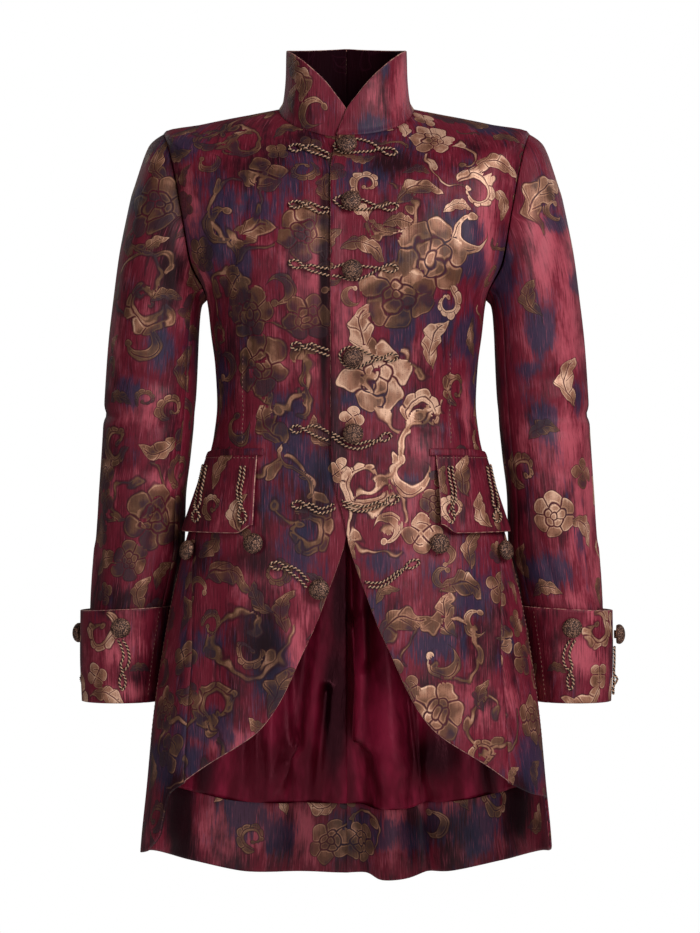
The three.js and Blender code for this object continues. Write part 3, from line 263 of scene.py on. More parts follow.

# Blotches of the warp print and of painted light and shade: 0 blue, 1 pink or 2 dark, x, z, half width,
# half height, strength. All of the lining's are painted: dark for shade in its fold valleys and under the
# fronts, pink for shine on its lit folds.
LINING_PAINTED_LIGHT = [
    (2, -13, -660, 15, 80, 1.4), (2, -8, -550, 11, 60, 1.1), (2, 102, -716, 36, 30, 1.0),
    (2, 24, -580, 5, 90, 0.7), (2, 0, -440, 60, 46, 0.9), (2, -52, -640, 7, 70, 0.45),
    (2, 70, -700, 4, 60, 0.6), (2, -120, -690, 9, 50, 0.5), (1, 44, -690, 16, 70, 0.8),
    (1, -80, -660, 18, 60, 0.5), (1, 14, -640, 7, 80, 0.6), (2, -160, -720, 20, 60, 0.9),
    (1, -36, -620, 8, 60, 0.4), (2, 160, -720, 20, 60, 0.9),
]
DYES_AND_PAINTED_LIGHT = [
    # The first row is a painted shadow cast by the left front's edge on the right front.
    (2, -24, -215, 6, 165, 1.0), (2, -42, -205, 16, 60, 0.4), (1, 262, -420, 26, 100, 0.8),
    # The pink rows at x 240 to 284, on the line above and this one, are painted light where the key lamp falls
    # on the left sleeve.
    (1, 284, -500, 30, 60, 0.8), (1, 240, -190, 16, 90, 0.7), (2, 150, -560, 30, 60, 0.3),
    # The pink rows at z -790 to -800 are painted light on the hem facing.
    (2, -110, -620, 30, 40, 0.35), (1, -120, -796, 34, 36, 1.0), (1, -56, -800, 30, 36, 0.9),
    (1, 60, -790, 26, 40, 1.0), (1, 128, -792, 26, 40, 0.9), (0, -84, -800, 22, 30, 0.8),
    # The dark rows at x -186 and 190, low on the tails, are painted shade inside the tails.
    (0, 96, -800, 18, 30, 0.7), (0, 10, -806, 22, 30, 0.7), (2, -186, -790, 15, 70, 1.2),
    (2, 190, -770, 14, 50, 1.0), (0, -176, -44, 26, 16, 0.8), (0, -132, -98, 18, 32, 0.7),
    (0, -143, -136, 21, 32, 0.9), (0, -92, -114, 26, 23, 0.7), (0, -51, -76, 23, 36, 0.6),
    (0, -111, -172, 10, 23, 1), (0, -225, -104, 10, 26, 0.7), (0, -154, -153, 18, 26, 0.7),
    (0, 31, -24, 21, 18, 0.8), (0, 42, 38, 6, 16, 0.9), (0, 58, -44, 26, 16, 0.5),
    (0, 4, -78, 39, 18, 0.6), (0, 118, -142, 29, 21, 0.9), (0, 137, -172, 16, 26, 0.9),
    (0, 86, -181, 16, 13, 0.8), (0, 58, -166, 26, 26, 0.6), (0, 58, -240, 18, 16, 0.7),
    (0, 211, -93, 16, 21, 0.9), (0, 169, -180, 10, 31, 0.9), (0, 224, -126, 18, 10, 0.8),
    (0, 250, -191, 12, 12, 0.9), (0, 102, -229, 23, 23, 0.9), (0, 146, -22, 29, 9, 0.7),
    (0, -198, -262, 18, 23, 0.7), (0, -236, -311, 18, 18, 0.8), (0, -136, -300, 10, 36, 0.8),
    (0, -51, -329, 26, 21, 0.8), (0, -59, -362, 29, 16, 0.7), (0, -38, -399, 31, 36, 0.7),
    (0, -67, -431, 23, 23, 0.6), (0, -165, -256, 10, 32, 0.6), (0, -105, -358, 21, 10, 0.7),
    (0, -51, -474, 31, 34, 0.7), (0, 28, -318, 39, 16, 0.9), (0, 53, -256, 13, 18, 0.6),
    (0, 129, -245, 16, 29, 0.9), (0, 140, -294, 6, 36, 1), (0, 211, -245, 16, 34, 0.9),
    (0, 200, -283, 16, 10, 0.7), (0, 216, -340, 16, 21, 0.9), (0, 31, -436, 16, 8, 0.6),
    (0, 60, -405, 18, 10, 0.7), (0, 34, -491, 26, 16, 0.7), (0, 98, -507, 16, 21, 0.6),
    (0, 135, -525, 29, 29, 0.7), (0, 216, -504, 26, 23, 1), (0, 239, -427, 6, 18, 0.9),
    (0, 255, -469, 9, 23, 0.7), (0, 250, -318, 6, 21, 0.8), (0, -176, -545, 6, 78, 0.6),
    (0, -147, -578, 18, 16, 0.6), (0, -83, -589, 23, 44, 0.9), (0, -154, -667, 31, 16, 0.9),
    (0, -173, -700, 21, 21, 0.8), (0, -122, -765, 26, 44, 0.9), (0, -198, -711, 18, 26, 0.7),
    (0, 42, -594, 18, 16, 0.8), (0, 93, -580, 21, 21, 0.9), (0, 28, -536, 13, 18, 0.5),
    (0, 173, -580, 9, 13, 0.7), (0, 200, -711, 16, 29, 0.9), (0, 148, -798, 23, 34, 1),
    (0, 167, -752, 6, 47, 0.9), (0, 50, -807, 26, 23, 0.8), (0, 15, -807, 18, 18, 0.5),
    (1, -171, -125, 13, 65, 0.8), (1, -45, -166, 29, 21, 0.7), (1, -38, -202, 29, 34, 0.8),
    (1, -203, -220, 26, 21, 0.5), (1, 211, -161, 16, 55, 1), (1, 150, -142, 10, 52, 0.8),
    (1, 17, -220, 26, 13, 0.6), (1, 241, -158, 16, 60, 0.6), (1, 60, 20, 10, 31, 0.8),
    (1, 37, 16, 16, 26, 0.5), (1, -212, -327, 26, 23, 0.6), (1, -252, -256, 13, 36, 0.5),
    (1, -198, -401, 26, 16, 0.6), (1, -154, -207, 8, 78, 0.7), (1, -49, -286, 21, 16, 0.6),
    (1, -78, -512, 34, 18, 0.5), (1, -252, -414, 10, 23, 0.4), (1, 71, -264, 23, 21, 0.6),
    (1, 80, -365, 16, 23, 0.6), (1, 233, -360, 29, 36, 0.9), (1, 246, -262, 23, 26, 0.5),
    (1, 56, -425, 18, 39, 0.6), (1, -125, -678, 39, 16, 0.8), (1, -59, -578, 16, 36, 0.7),
    (1, 135, -632, 23, 49, 0.6), (1, 58, -643, 13, 26, 0.5), (1, -51, -594, 8, 52, 0.6),
    (1, 227, -403, 18, 39, 0.6), (1, -247, -589, 34, 21, 0.6), (1, -236, -632, 26, 13, 0.6),
    (1, 255, -594, 31, 23, 0.6), (1, 58, -491, 26, 18, 0.5), (1, 167, -643, 21, 39, 0.4),
    (1, -72, -785, 18, 21, 0.6), (1, 58, -776, 21, 18, 0.6), (1, -51, -196, 13, 52, 0.5),
    (1, 129, -316, 8, 65, 0.5), (1, -2, -240, 10, 65, 0.7), (1, -2, -153, 10, 52, 0.4),
    (1, 233, -534, 39, 13, 0.4), (1, 146, -741, 13, 21, 0.7), (2, -111, -71, 72, 26, 0.5),
    (2, -181, -98, 13, 39, 0.5), (2, 58, -63, 78, 18, 0.5), (2, 135, -44, 52, 16, 0.4),
    (2, -187, -174, 13, 47, 0.7), (2, -89, -578, 29, 44, 0.8), (2, -127, -491, 52, 18, 0.5),
    (2, -29, -403, 18, 78, 0.5), (2, -40, -44, 29, 26, 0.4), (2, 102, -643, 26, 26, 0.2),
    (2, -51, -818, 52, 13, 0.4), (2, 102, -798, 39, 31, 0.6), (2, -247, -534, 78, 16, 0.4),
    # The narrow dark rows at x -23 are painted shadow of the left front's edge, like the first row.
    (2, 167, -392, 10, 117, 0.3), (2, -23, -98, 8, 78, 0.5), (2, -23, -316, 8, 104, 0.5),
]

# ---------- Small helpers on arrays ----------
DEGREE = math.pi / 180


def smooth(low, high, v):
    """A soft step from 0 at low to 1 at high."""
    t = np.clip((v - low) / (high - low), 0, 1)
    return t * t * (3 - 2 * t)


def mix(a, b, t):
    return a + (b - a) * t


def curve(rows):
    """A smooth curve through (at, to) rows that never overshoots them."""
    at, to = np.array(sorted(rows), float).T
    rise = np.diff(to) / np.diff(at)
    slope = np.empty_like(at)
    slope[0], slope[-1] = rise[0], rise[-1]
    product, total = rise[:-1] * rise[1:], rise[:-1] + rise[1:]
    slope[1:-1] = np.where(product > 0, 2 * product / np.where(product > 0, total, 1), 0)

    def value(x):
        x = np.clip(np.asarray(x, float), at[0], at[-1])
        i = np.clip(np.searchsorted(at, x) - 1, 0, len(at) - 2)
        width = at[i + 1] - at[i]
        t = (x - at[i]) / width
        t2, t3 = t * t, t * t * t
        return ((2 * t3 - 3 * t2 + 1) * to[i] + (t3 - 2 * t2 + t) * width * slope[i]
                + (3 * t2 - 2 * t3) * to[i + 1] + (t3 - t2) * width * slope[i + 1])

    return value


def solve(f, low, high, rounds=40):
    """Where f changes sign between low and high, for arrays of them."""
    low, high = np.broadcast_arrays(np.asarray(low, float), np.asarray(high, float))
    low, high = low.copy(), high.copy()
    start = np.sign(f(low))
    for _ in range(rounds):
        middle = (low + high) / 2
        same = np.sign(f(middle)) == start
        low, high = np.where(same, middle, low), np.where(same, high, middle)
    return (low + high) / 2


def points(x, y, z):
    return np.stack(np.broadcast_arrays(x, y, z), -1).astype(float)


def unit(v):
    return v / np.maximum(np.linalg.norm(v, axis=-1, keepdims=True), 1e-9)


# ---------- The body's surface ----------
BODY = {name: curve(list(enumerate(RINGS[:, k]))) for k, name in
        enumerate(["side", "front", "back", "half", "fore", "aft", "square", "arch"])}
front_edge = curve(FRONT_EDGE)
hem_at = {side: curve(HEM[side]) for side in (1, -1)}
side_seam = curve(SIDE_SEAM)
back_seam = curve(BACK_SEAM)
RING_TABLE = np.linspace(0, ARMPIT, 2601)
HEIGHT_TABLE = BODY["side"](RING_TABLE)


def ring_of(z):
    """The ring at a height of the body below the armpit."""
    return np.interp(z, HEIGHT_TABLE, RING_TABLE)


def oval(turn, half, fore, aft, square):
    """x and y on a squared oval, at a turn from the front."""
    s, c = np.sin(turn * DEGREE), np.cos(turn * DEGREE)
    deep = np.where(c > 0, fore, aft)
    reach = (np.abs(s / half) ** square + np.abs(c / deep) ** square) ** (-1 / square)
    return reach * s, -reach * c


def skin(turn, ring):
    """The outer surface of the body, with its bust and the flutes of the tails."""
    turn, ring = np.broadcast_arrays(np.asarray(turn, float), np.asarray(ring, float))
    at = {name: f(ring) for name, f in BODY.items()}
    c = np.cos(turn * DEGREE)
    x, y = oval(turn, at["half"], at["fore"], at["aft"], at["square"])
    end = np.where(c > 0, at["front"], at["back"])
    deep = np.where(c > 0, at["fore"], at["aft"])
    z = mix(at["side"], end, np.abs(y / deep) ** at["arch"])
    flute = 0
    for middle, wide, out, start in FLUTES:
        off = (turn - middle + 540) % 360 - 180
        flute = flute + out * np.exp(-((off / wide) ** 2)) * smooth(start, -840, z)
    grow = 1 + flute / np.hypot(x, y)
    x, y = x * grow, y * grow
    across = (np.abs(x) - BUST["x"]) / BUST["wide"]
    bust = BUST["out"] * np.exp(-(across ** 2) - ((z - BUST["z"]) / BUST["tall"]) ** 2)
    return points(x, y - np.where(c > 0, bust * smooth(0, 0.35, c), 0), z)


def facing(surface, a, b, step_a, step_b):
    """Which way a surface faces, from points a small step apart."""
    across = surface(a + step_a, b) - surface(a - step_a, b)
    along = surface(a, b + step_b) - surface(a, b - step_b)
    return unit(np.cross(across, along))


def body_up(turn, ring):
    """Which way the body faces."""
    return facing(skin, turn, np.minimum(ring, NECK - 0.03), 1.2, 0.03)


def seam_shift(turn, ring):
    """Half the gap of a seam, as a turn."""
    return SEAM / 2 / (np.linalg.norm(skin(turn, ring), axis=-1) * DEGREE)


def back_shift(ring):
    return seam_shift(150, ring) * (1 + 2 * smooth(12, 13.5, ring))


def armhole_width(ring):
    off = (ring - ARMHOLE["middle"]) / ARMHOLE["reach"]
    return ARMHOLE["spread"] * np.sqrt(np.maximum(0, 1 - off * off))


def armhole_ring(turn):
    return ARMHOLE["middle"] + ARMHOLE["reach"] * np.cos(turn * DEGREE)


def arm_edge(ring, way):
    """The turn of the armhole's edge, before (-1) or behind (1) the arm."""
    return 90 + way * np.where(ring < SHOULDER, armhole_width(ring), 0)


SIDE_SEAM_TOP = float(solve(lambda r: 90 - armhole_width(r) - side_seam(-200), ARMPIT, ARMHOLE["middle"]))
BACK_SEAM_TOP = float(armhole_ring(96))

# The turn of the front edge at each ring
EDGE_RINGS = np.linspace(0, NECK, 761)
EDGE_X = front_edge(np.maximum(BODY["front"](EDGE_RINGS), CUTAWAY_TOP))
EDGE_TURNS = solve(lambda turn: skin(turn, EDGE_RINGS)[..., 0] - EDGE_X, np.full_like(EDGE_RINGS, -40),
                   np.full_like(EDGE_RINGS, 85))


def front_column_turn(u, ring):
    """Across a front: u is 0 at its free edge and 1 at its side seam or armhole."""
    start = np.interp(ring, EDGE_RINGS, EDGE_TURNS)
    end = np.where(ring < SIDE_SEAM_TOP, side_seam(BODY["side"](ring)), arm_edge(ring, -1))
    return mix(start, end - seam_shift(80, ring), u)


def front_foot(u):
    """The ring where each column of a front meets the cutaway."""
    low, top = ring_of(FRONT_EDGE[-1][0]), ring_of(CUTAWAY_TOP)
    foot = solve(lambda r: skin(front_column_turn(u, r), r)[..., 0] - front_edge(BODY["side"](r)),
                 np.full_like(u, low), np.full_like(u, top))
    return np.where(u >= 1, low, foot)


def tail_ring(foot, share):
    """Down a tail column: share 0 is the waist and 1 its own foot."""
    return ring_of(mix(BODY["side"](WAIST), BODY["side"](foot), share))


def side_panel_turn(u, ring):
    """Across a side-back: u is 0 at its side seam and 1 at its back seam."""
    start = side_seam(BODY["side"](ring)) + seam_shift(80, ring)
    return mix(start, back_seam(ring) - back_shift(ring), u)


SIDE_ANGLES = [160.5, 168, 180, 192, 204, 216, 228, 240, 252, 264]


def side_columns(side, s):
    """Top ring and turn function of the side-back's columns; s runs from 0 to 1 across it."""
    place = np.asarray(s, float) * (len(SIDE_ANGLES) - 1)
    angle = np.interp(place, range(len(SIDE_ANGLES)), SIDE_ANGLES)
    top = np.where(s <= 0, SIDE_SEAM_TOP, armhole_ring(angle))
    across = 90 - ARMHOLE["spread"] * np.sin(angle * DEGREE)
    start, end = side_panel_turn(0, top), side_panel_turn(1, top)
    high = np.clip((across - start) / (end - start), 0, 1)
    high = np.where(s <= 0, 0, np.where(s >= 1, 1, high))
    turns = np.interp(place, range(len(SIDE_ANGLES)), HEM_TURNS[side])
    low = (turns - HEM_TURNS[side][0]) / (HEM_TURNS[side][-1] - HEM_TURNS[side][0])
    return top, lambda ring: side_panel_turn(mix(low, high, np.clip(ring / 11, 0, 1)), ring)


def foot_of(turn_at, side, shape):
    """The ring of the hem under each column."""
    ring = np.ones(shape)
    for _ in range(12):
        turn = turn_at(ring)
        drop = 8 * np.exp(-(((turn - FLUTES[3][0]) / 7.5) ** 4)) if side > 0 else 0
        ring = ring_of(hem_at[side](turn) - drop)
    return ring


def back_turn(u, ring):
    """Across a back: u is 0 at its back seam and 1 at the centre back."""
    start = np.where(ring <= BACK_SEAM_TOP, back_seam(ring), arm_edge(ring, 1))
    return mix(start + back_shift(ring), 180 - seam_shift(180, ring), u)


# ---------- Collar, sleeves and cuffs ----------
collar_top = curve(COLLAR_TOP)
COLLAR = {name: curve([(row[0], row[k]) for row in COLLAR_RINGS])
          for k, name in enumerate(["half", "fore", "aft"], 1)}


def collar_skin(turn, up):
    """The outer surface of the stand collar, up from 0 at the neck to 1 at its edge."""
    turn, up = np.broadcast_arrays(np.asarray(turn, float), np.asarray(up, float))
    base = skin(turn, NECK)[..., 2]
    foot = base + SEAM + 0.1
    top = np.maximum(collar_top(turn), foot + 2)
    high = np.clip((foot + up * (top - foot) - base) / 66, 0, 1)
    x, y = oval(turn, COLLAR["half"](high), COLLAR["fore"](high), COLLAR["aft"](high), RINGS[NECK][6])
    return points(x, y, mix(foot, top, up))


ARM = {name: curve([(ring, row[k]) for ring, row in enumerate(SLEEVE)])
       for k, name in enumerate(["topX", "topZ", "lowX", "lowZ", "deep", "mid"])}


def arm_oval(turn, ring):
    """An oval ring of the sleeve; a turn of 0 is outside and 90 in front."""
    c, s = np.cos(turn * DEGREE), np.sin(turn * DEGREE)
    t = (1 + c) / 2
    return points(mix(ARM["lowX"](ring), ARM["topX"](ring), t), ARM["mid"](ring) - ARM["deep"](ring) * s,
                  mix(ARM["lowZ"](ring), ARM["topZ"](ring), t))


def armhole_point(turn):
    """The place on the body where the sleeve's head is sewn in."""
    ring = np.clip(armhole_ring(turn), ARMPIT, SHOULDER)
    return skin(90 - ARMHOLE["spread"] * np.sin(turn * DEGREE), ring)


def sleeve_skin(turn, ring):
    """The outer surface of a sleeve, drawn out to the armhole at its head."""
    turn, ring = np.broadcast_arrays(np.asarray(turn, float), np.asarray(ring, float))
    share = (1 - smooth(0, SLEEVE_HEAD, ring)) ** 1.5
    off = armhole_point(turn) - arm_oval(turn, np.zeros_like(ring))
    point = arm_oval(turn, ring) + off * share[..., None]
    point[..., 0] += 0.1 * (1 - smooth(0, 2, ring))
    return point


CUFFS = {name: curve([(ring, row[k]) for ring, row in enumerate(CUFF_RINGS)])
         for k, name in enumerate(["topX", "lowX", "deep", "mid"])}


def cuff_skin(turn, down):
    """The outer surface of a cuff, down from 0 at its top to 1 at its edge."""
    turn, down = np.broadcast_arrays(np.asarray(turn, float), np.asarray(down, float))
    ring = down * (len(CUFF_RINGS) - 1)
    c = np.cos(turn * DEGREE)
    t = (1 + c) / 2
    return points(mix(CUFFS["lowX"](ring), CUFFS["topX"](ring), t),
                  CUFFS["mid"](ring) - CUFFS["deep"](ring) * np.sin(turn * DEGREE),
                  mix(CUFF["top"] - (CUFF["rise"] / 2) * c, CUFF["bottom"], down))


def cuff_up(turn, down):
    return facing(cuff_skin, turn, np.clip(down, 0.03, 0.97), 0.5, 0.02)


# ---------- The woven motifs ----------
# Each motif is one formula in postfix order, negative inside the gold. x and y are its own
# coordinates within a radius of 1, r and a the same point in polar form. The formulas are read
# twice: on arrays, to share out the cloth, and as Math nodes, to draw the weave.
POLAR = "x x * y y * + sqrt =r y x atan2 =a"
FLOWER = (
    "a 3 * cos abs =c c .55 ^ .26 * .74 + r swap - =body "
    "c r * 3 / .026 - .45 r - max =valley "
    "a 2.5 * .6 + cos abs =e e .09 * .4 + r - abs .028 - =ring "
    "e r * 2.5 / .022 - r .42 - max .17 r - max =inner "
    "r .17 - abs .024 - =core "
    "valley ring min inner min core min -1 * body max"
)
LEAF = (
    "x x * .5 * y + .2 - =b b abs =h "
    "1 x x * - 0 max .7 ^ x 5.2 * b 2 * + cos abs .3 * .7 + * .46 * h swap - x abs 1 - max =body "
    "b .03 - abs .02 - x .72 - max =rib "
    "x h .8 * - 6.5 * sin abs 6.5 / .014 - .07 h - max x .6 - max =vein "
    "rib vein min -1 * body max"
)
COMMA = (
    "r .82 - .6 x .34 - x .34 - * y .05 - y .05 - * + sqrt - max =moon "
    "moon x .42 - x .42 - * y .64 - y .64 - * + sqrt .2 - min =body "
    "r .68 - abs .018 - x .05 + max -1 * body max"
)
SCROLL = (
    "a .159 * .5 + =t t 0 max .7 ^ .33 * 1 t - 5 * 1 min 0 max .5 ^ * =w "
    "a 4 * r 2 * + cos abs =c r t .42 * .28 + - =d "
    "d c .6 ^ .5 * .66 + w * - 0 d - w .55 * - max =body "
    "c r * 4 / .02 - w .2 * d - max =cut d abs .014 - .3 t - max =stem "
    "cut stem min -1 * body max x .28 + x .28 + * y y * + sqrt .12 - min"
)
BLOSSOM = (
    "a 2 * .5 + cos abs =c c .5 ^ .5 * .46 + r swap - =body "
    "c r * 2 / .035 - .12 r - max =valley r .5 - abs .02 - a 2 * sin 0 swap - max =fold "
    "valley fold min -1 * body max"
)
TENDRIL = (
    "y x 2.6 * sin .42 * - =b b abs 1 x x * - 0 max .5 ^ .075 * .02 + - x abs 1 - max "
    "x abs .84 - x abs .84 - * b b * + sqrt .13 - min "
    "x .3 + x .3 + * 3 * b .16 - b .16 - * + sqrt .15 - min"
)
STEM = (
    "a .09 * .62 + r - abs .055 1 a abs .32 * - 0 max .4 ^ * - "
    "x .1 + x .1 + * y .62 - y .62 - * 3 * + sqrt .2 - min "
    "x .62 - x .62 - * 3 * y .25 + y .25 + * + sqrt .17 - min "
    "x .34 + x .34 + * y .02 + y .02 + * + sqrt .1 - min"
)
MOTIF_FORMULAS = [FLOWER, LEAF, COMMA, SCROLL, BLOSSOM, TENDRIL, STEM]

OPERATIONS = {
    "+": ("ADD", np.add), "-": ("SUBTRACT", np.subtract), "*": ("MULTIPLY", np.multiply),
    "/": ("DIVIDE", np.divide), "^": ("POWER", np.power), "min": ("MINIMUM", np.minimum),
    "max": ("MAXIMUM", np.maximum), "atan2": ("ARCTAN2", np.arctan2),
}
SINGLES = {
    "sqrt": ("SQRT", np.sqrt), "cos": ("COSINE", np.cos), "sin": ("SINE", np.sin),
    "abs": ("ABSOLUTE", np.abs), "round": ("ROUND", np.round),
}


def work_out(formula, known, tree=None):
    """Reads a postfix formula, on arrays or, with a tree, into Math nodes. =name keeps a value."""
    stack = []
    for word in formula.split():
        if word in OPERATIONS:
            b, a = stack.pop(), stack.pop()
            name, on_arrays = OPERATIONS[word]
            stack.append(add(tree, "ShaderNodeMath", (a, b), operation=name) if tree else on_arrays(a, b))
        elif word in SINGLES:
            a = stack.pop()
            name, on_arrays = SINGLES[word]
            stack.append(add(tree, "ShaderNodeMath", (a,), operation=name) if tree else on_arrays(a))
        elif word == "swap":
            stack[-1], stack[-2] = stack[-2], stack[-1]
        elif word[0] == "=":
            known[word[1:]] = stack.pop()
        else:
            stack.append(known[word] if word in known else float(word))
    return stack[-1] if stack else None


def rgb(code):
    """An sRGB hex colour as linear light."""
    channels = [int(code[k:k + 2], 16) / 255 for k in (1, 3, 5)]
    return (*[c / 12.92 if c <= 0.04045 else ((c + 0.055) / 1.055) ** 2.4 for c in channels], 1.0)


def add(tree, kind, inputs=(), out=0, **settings):
    """One node with its settings, and its inputs as {name or number: value or socket}."""
    made = tree.nodes.new(kind)
    for key, value in settings.items():
        setattr(made, key, value)
    pairs = inputs.items() if isinstance(inputs, dict) else enumerate(inputs)
    for key, value in pairs:
        if isinstance(value, bpy.types.NodeSocket):
            tree.links.new(value, made.inputs[key])
        elif value is not None:
            made.inputs[key].default_value = value
    return made if out is None else made.outputs[out]


CELL = 4.0  # between two motifs in the repertoire, in motif radii
EMPTY = -40.0  # far from all of them
# How cloth with no placed motif is filled: one try for so many square millimetres, how near two
# motifs may come as a share of their radii, the radii and their odds, and the odds of each kind
FILL = {"area": 130, "spacing": 0.82, "sizes": [38, 33, 28, 24, 18], "size_odds": [.16, .22, .24, .22, .16],
        "kind_odds": [.2, .27, .16, .17, .1, .1]}
# How bright the placed gold is above and below the hips, and how much of that is left on the wearer's right
# side, dimmed there as painted shade away from the key lamp
GOLD = {"body": 0.86, "skirt": 0.5, "hips": -480, "shaded_side": 0.62}


def lay_motifs(group, cloth, corner_uv, grid, front_only, seed):
    """Shares a piece's faces between the motifs near them. Returns UV maps motif and tone."""
    flat = grid.reshape(-1, 3)
    flat_uv = cloth.reshape(-1, 2)
    seen = flat[:, 1] < front_only
    rows = []
    for where, x, z, kind, size, turn, level in MOTIFS:
        if where != group:
            continue
        off = np.hypot(flat[:, 0] - x, flat[:, 2] - z) + np.where(seen, 0, 1e4)
        near = int(off.argmin())
        if off[near] < size * 0.9:
            spot = flat_uv[near] + np.array([x - flat[near, 0], z - flat[near, 2]])
            level *= GOLD["skirt"] if group == "F" and z < GOLD["hips"] else GOLD["body"]
            rows.append((*spot, kind, size, turn, level))
    dice = np.random.default_rng(seed)
    low, high = flat_uv.min(0), flat_uv.max(0)
    taken = [(u, v, size) for u, v, _, size, _, _ in rows]
    tries = int(np.prod(high - low) / FILL["area"])
    spots = low + dice.random((tries, 2)) * (high - low)
    sizes = dice.choice(FILL["sizes"], tries, p=FILL["size_odds"])
    kinds = dice.choice(len(FILL["kind_odds"]), tries, p=FILL["kind_odds"])
    turns = dice.random(tries) * 360
    levels = 0.3 + 0.5 * dice.random(tries)
    for n in range(tries):
        near = int(np.hypot(*(flat_uv - spots[n]).T).argmin())
        if np.hypot(*(flat_uv[near] - spots[n])) > sizes[n] * 0.7:
            continue
        if seen[near]:
            # between the placed motifs only small, dull ones, and none on the brighter sleeve
            if group not in "FS" or (group == "S" and flat[near, 0] > 0):
                continue
            sizes[n], levels[n] = min(sizes[n], 26) * 0.8, 0.7 * levels[n] - 0.16
        if any(math.hypot(spots[n][0] - u, spots[n][1] - v) < (sizes[n] + size) * FILL["spacing"]
               for u, v, size in taken):
            continue
        taken.append((*spots[n], sizes[n]))
        rows.append((*spots[n], kinds[n], sizes[n], turns[n], levels[n]))
    count = len(corner_uv)
    motif = np.zeros((count, 4, 2))
    motif[..., 0] = EMPTY
    tone = np.zeros((count, 4, 2))
    middle = corner_uv.mean(1)
    best = np.full(count, 1e9)
    # painted shade: the gold of the wearer's right front and sleeve is dimmed
    left = GOLD["shaded_side"] if group in "FS" and flat[:, 0].mean() < 0 else 1
    for n, (u, v, kind, size, turn, level) in enumerate(rows):
        c, s = math.cos(math.radians(turn)), math.sin(math.radians(turn))
        local = (corner_uv - (u, v)) / size
        local = np.stack([local[..., 0] * c + local[..., 1] * s, -local[..., 0] * s + local[..., 1] * c], -1)
        near = np.hypot(*((middle - (u, v)) / size).T) < 1.5
        if not near.any():
            continue
        known = {"x": local[near].mean(1)[:, 0], "y": local[near].mean(1)[:, 1]}
        work_out(POLAR, known)
        gold = work_out(MOTIF_FORMULAS[kind], known) * size
        where = np.flatnonzero(near)
        won = where[gold < best[where]]
        best[where] = np.minimum(best[where], gold)
        motif[won] = local[won] + (CELL * kind, 0)
        tone[won] = (level * left, (n * 0.37) % 1)
    return motif, tone


def dye_and_painted_light_of(verts, front_only, rows):
    """Blue, pink and dark at each point, from soft listed blotches on the front: print, painted shade and
    painted light.
    """
    dye_and_painted_light = np.zeros((len(verts), 3))
    front = 1 - smooth(front_only - 20, front_only + 20, verts[:, 1])
    for which, x, z, wide, tall, strong in rows:
        near = np.exp(-(((verts[:, 0] - x) / wide) ** 2) - ((verts[:, 2] - z) / tall) ** 2)
        dye_and_painted_light[:, which] = np.maximum(dye_and_painted_light[:, which], strong * near * front)
    return dye_and_painted_light


# ---------- Materials ----------
STEP = {"interpolation_type": "SMOOTHSTEP"}
COLORS = {"data_type": "RGBA", "out": 2}  # of a Mix node: 0 is its share, 6 and 7 its colours


def new_material(name):
    """A material with its node tree and its shader."""
    material = bpy.data.materials.new(name)
    material.use_nodes = True
    tree = material.node_tree
    return material, tree, tree.nodes["Principled BSDF"]


def grains(tree, vector, rows):
    """Noises by name, each across mm wide and along mm long on the cloth: name, sizes, detail, shift."""
    found = {}
    for name, across, along, detail, shift in rows:
        scaled = add(tree, "ShaderNodeMapping", {"Vector": vector, "Scale": (1 / across, 1 / along, 1.0),
                                                 "Location": (shift, shift * 0.7, shift)})
        found[name] = add(tree, "ShaderNodeTexNoise",
                          {"Vector": scaled, "Scale": 1.0, "Detail": detail, "Roughness": 0.58})
    return found


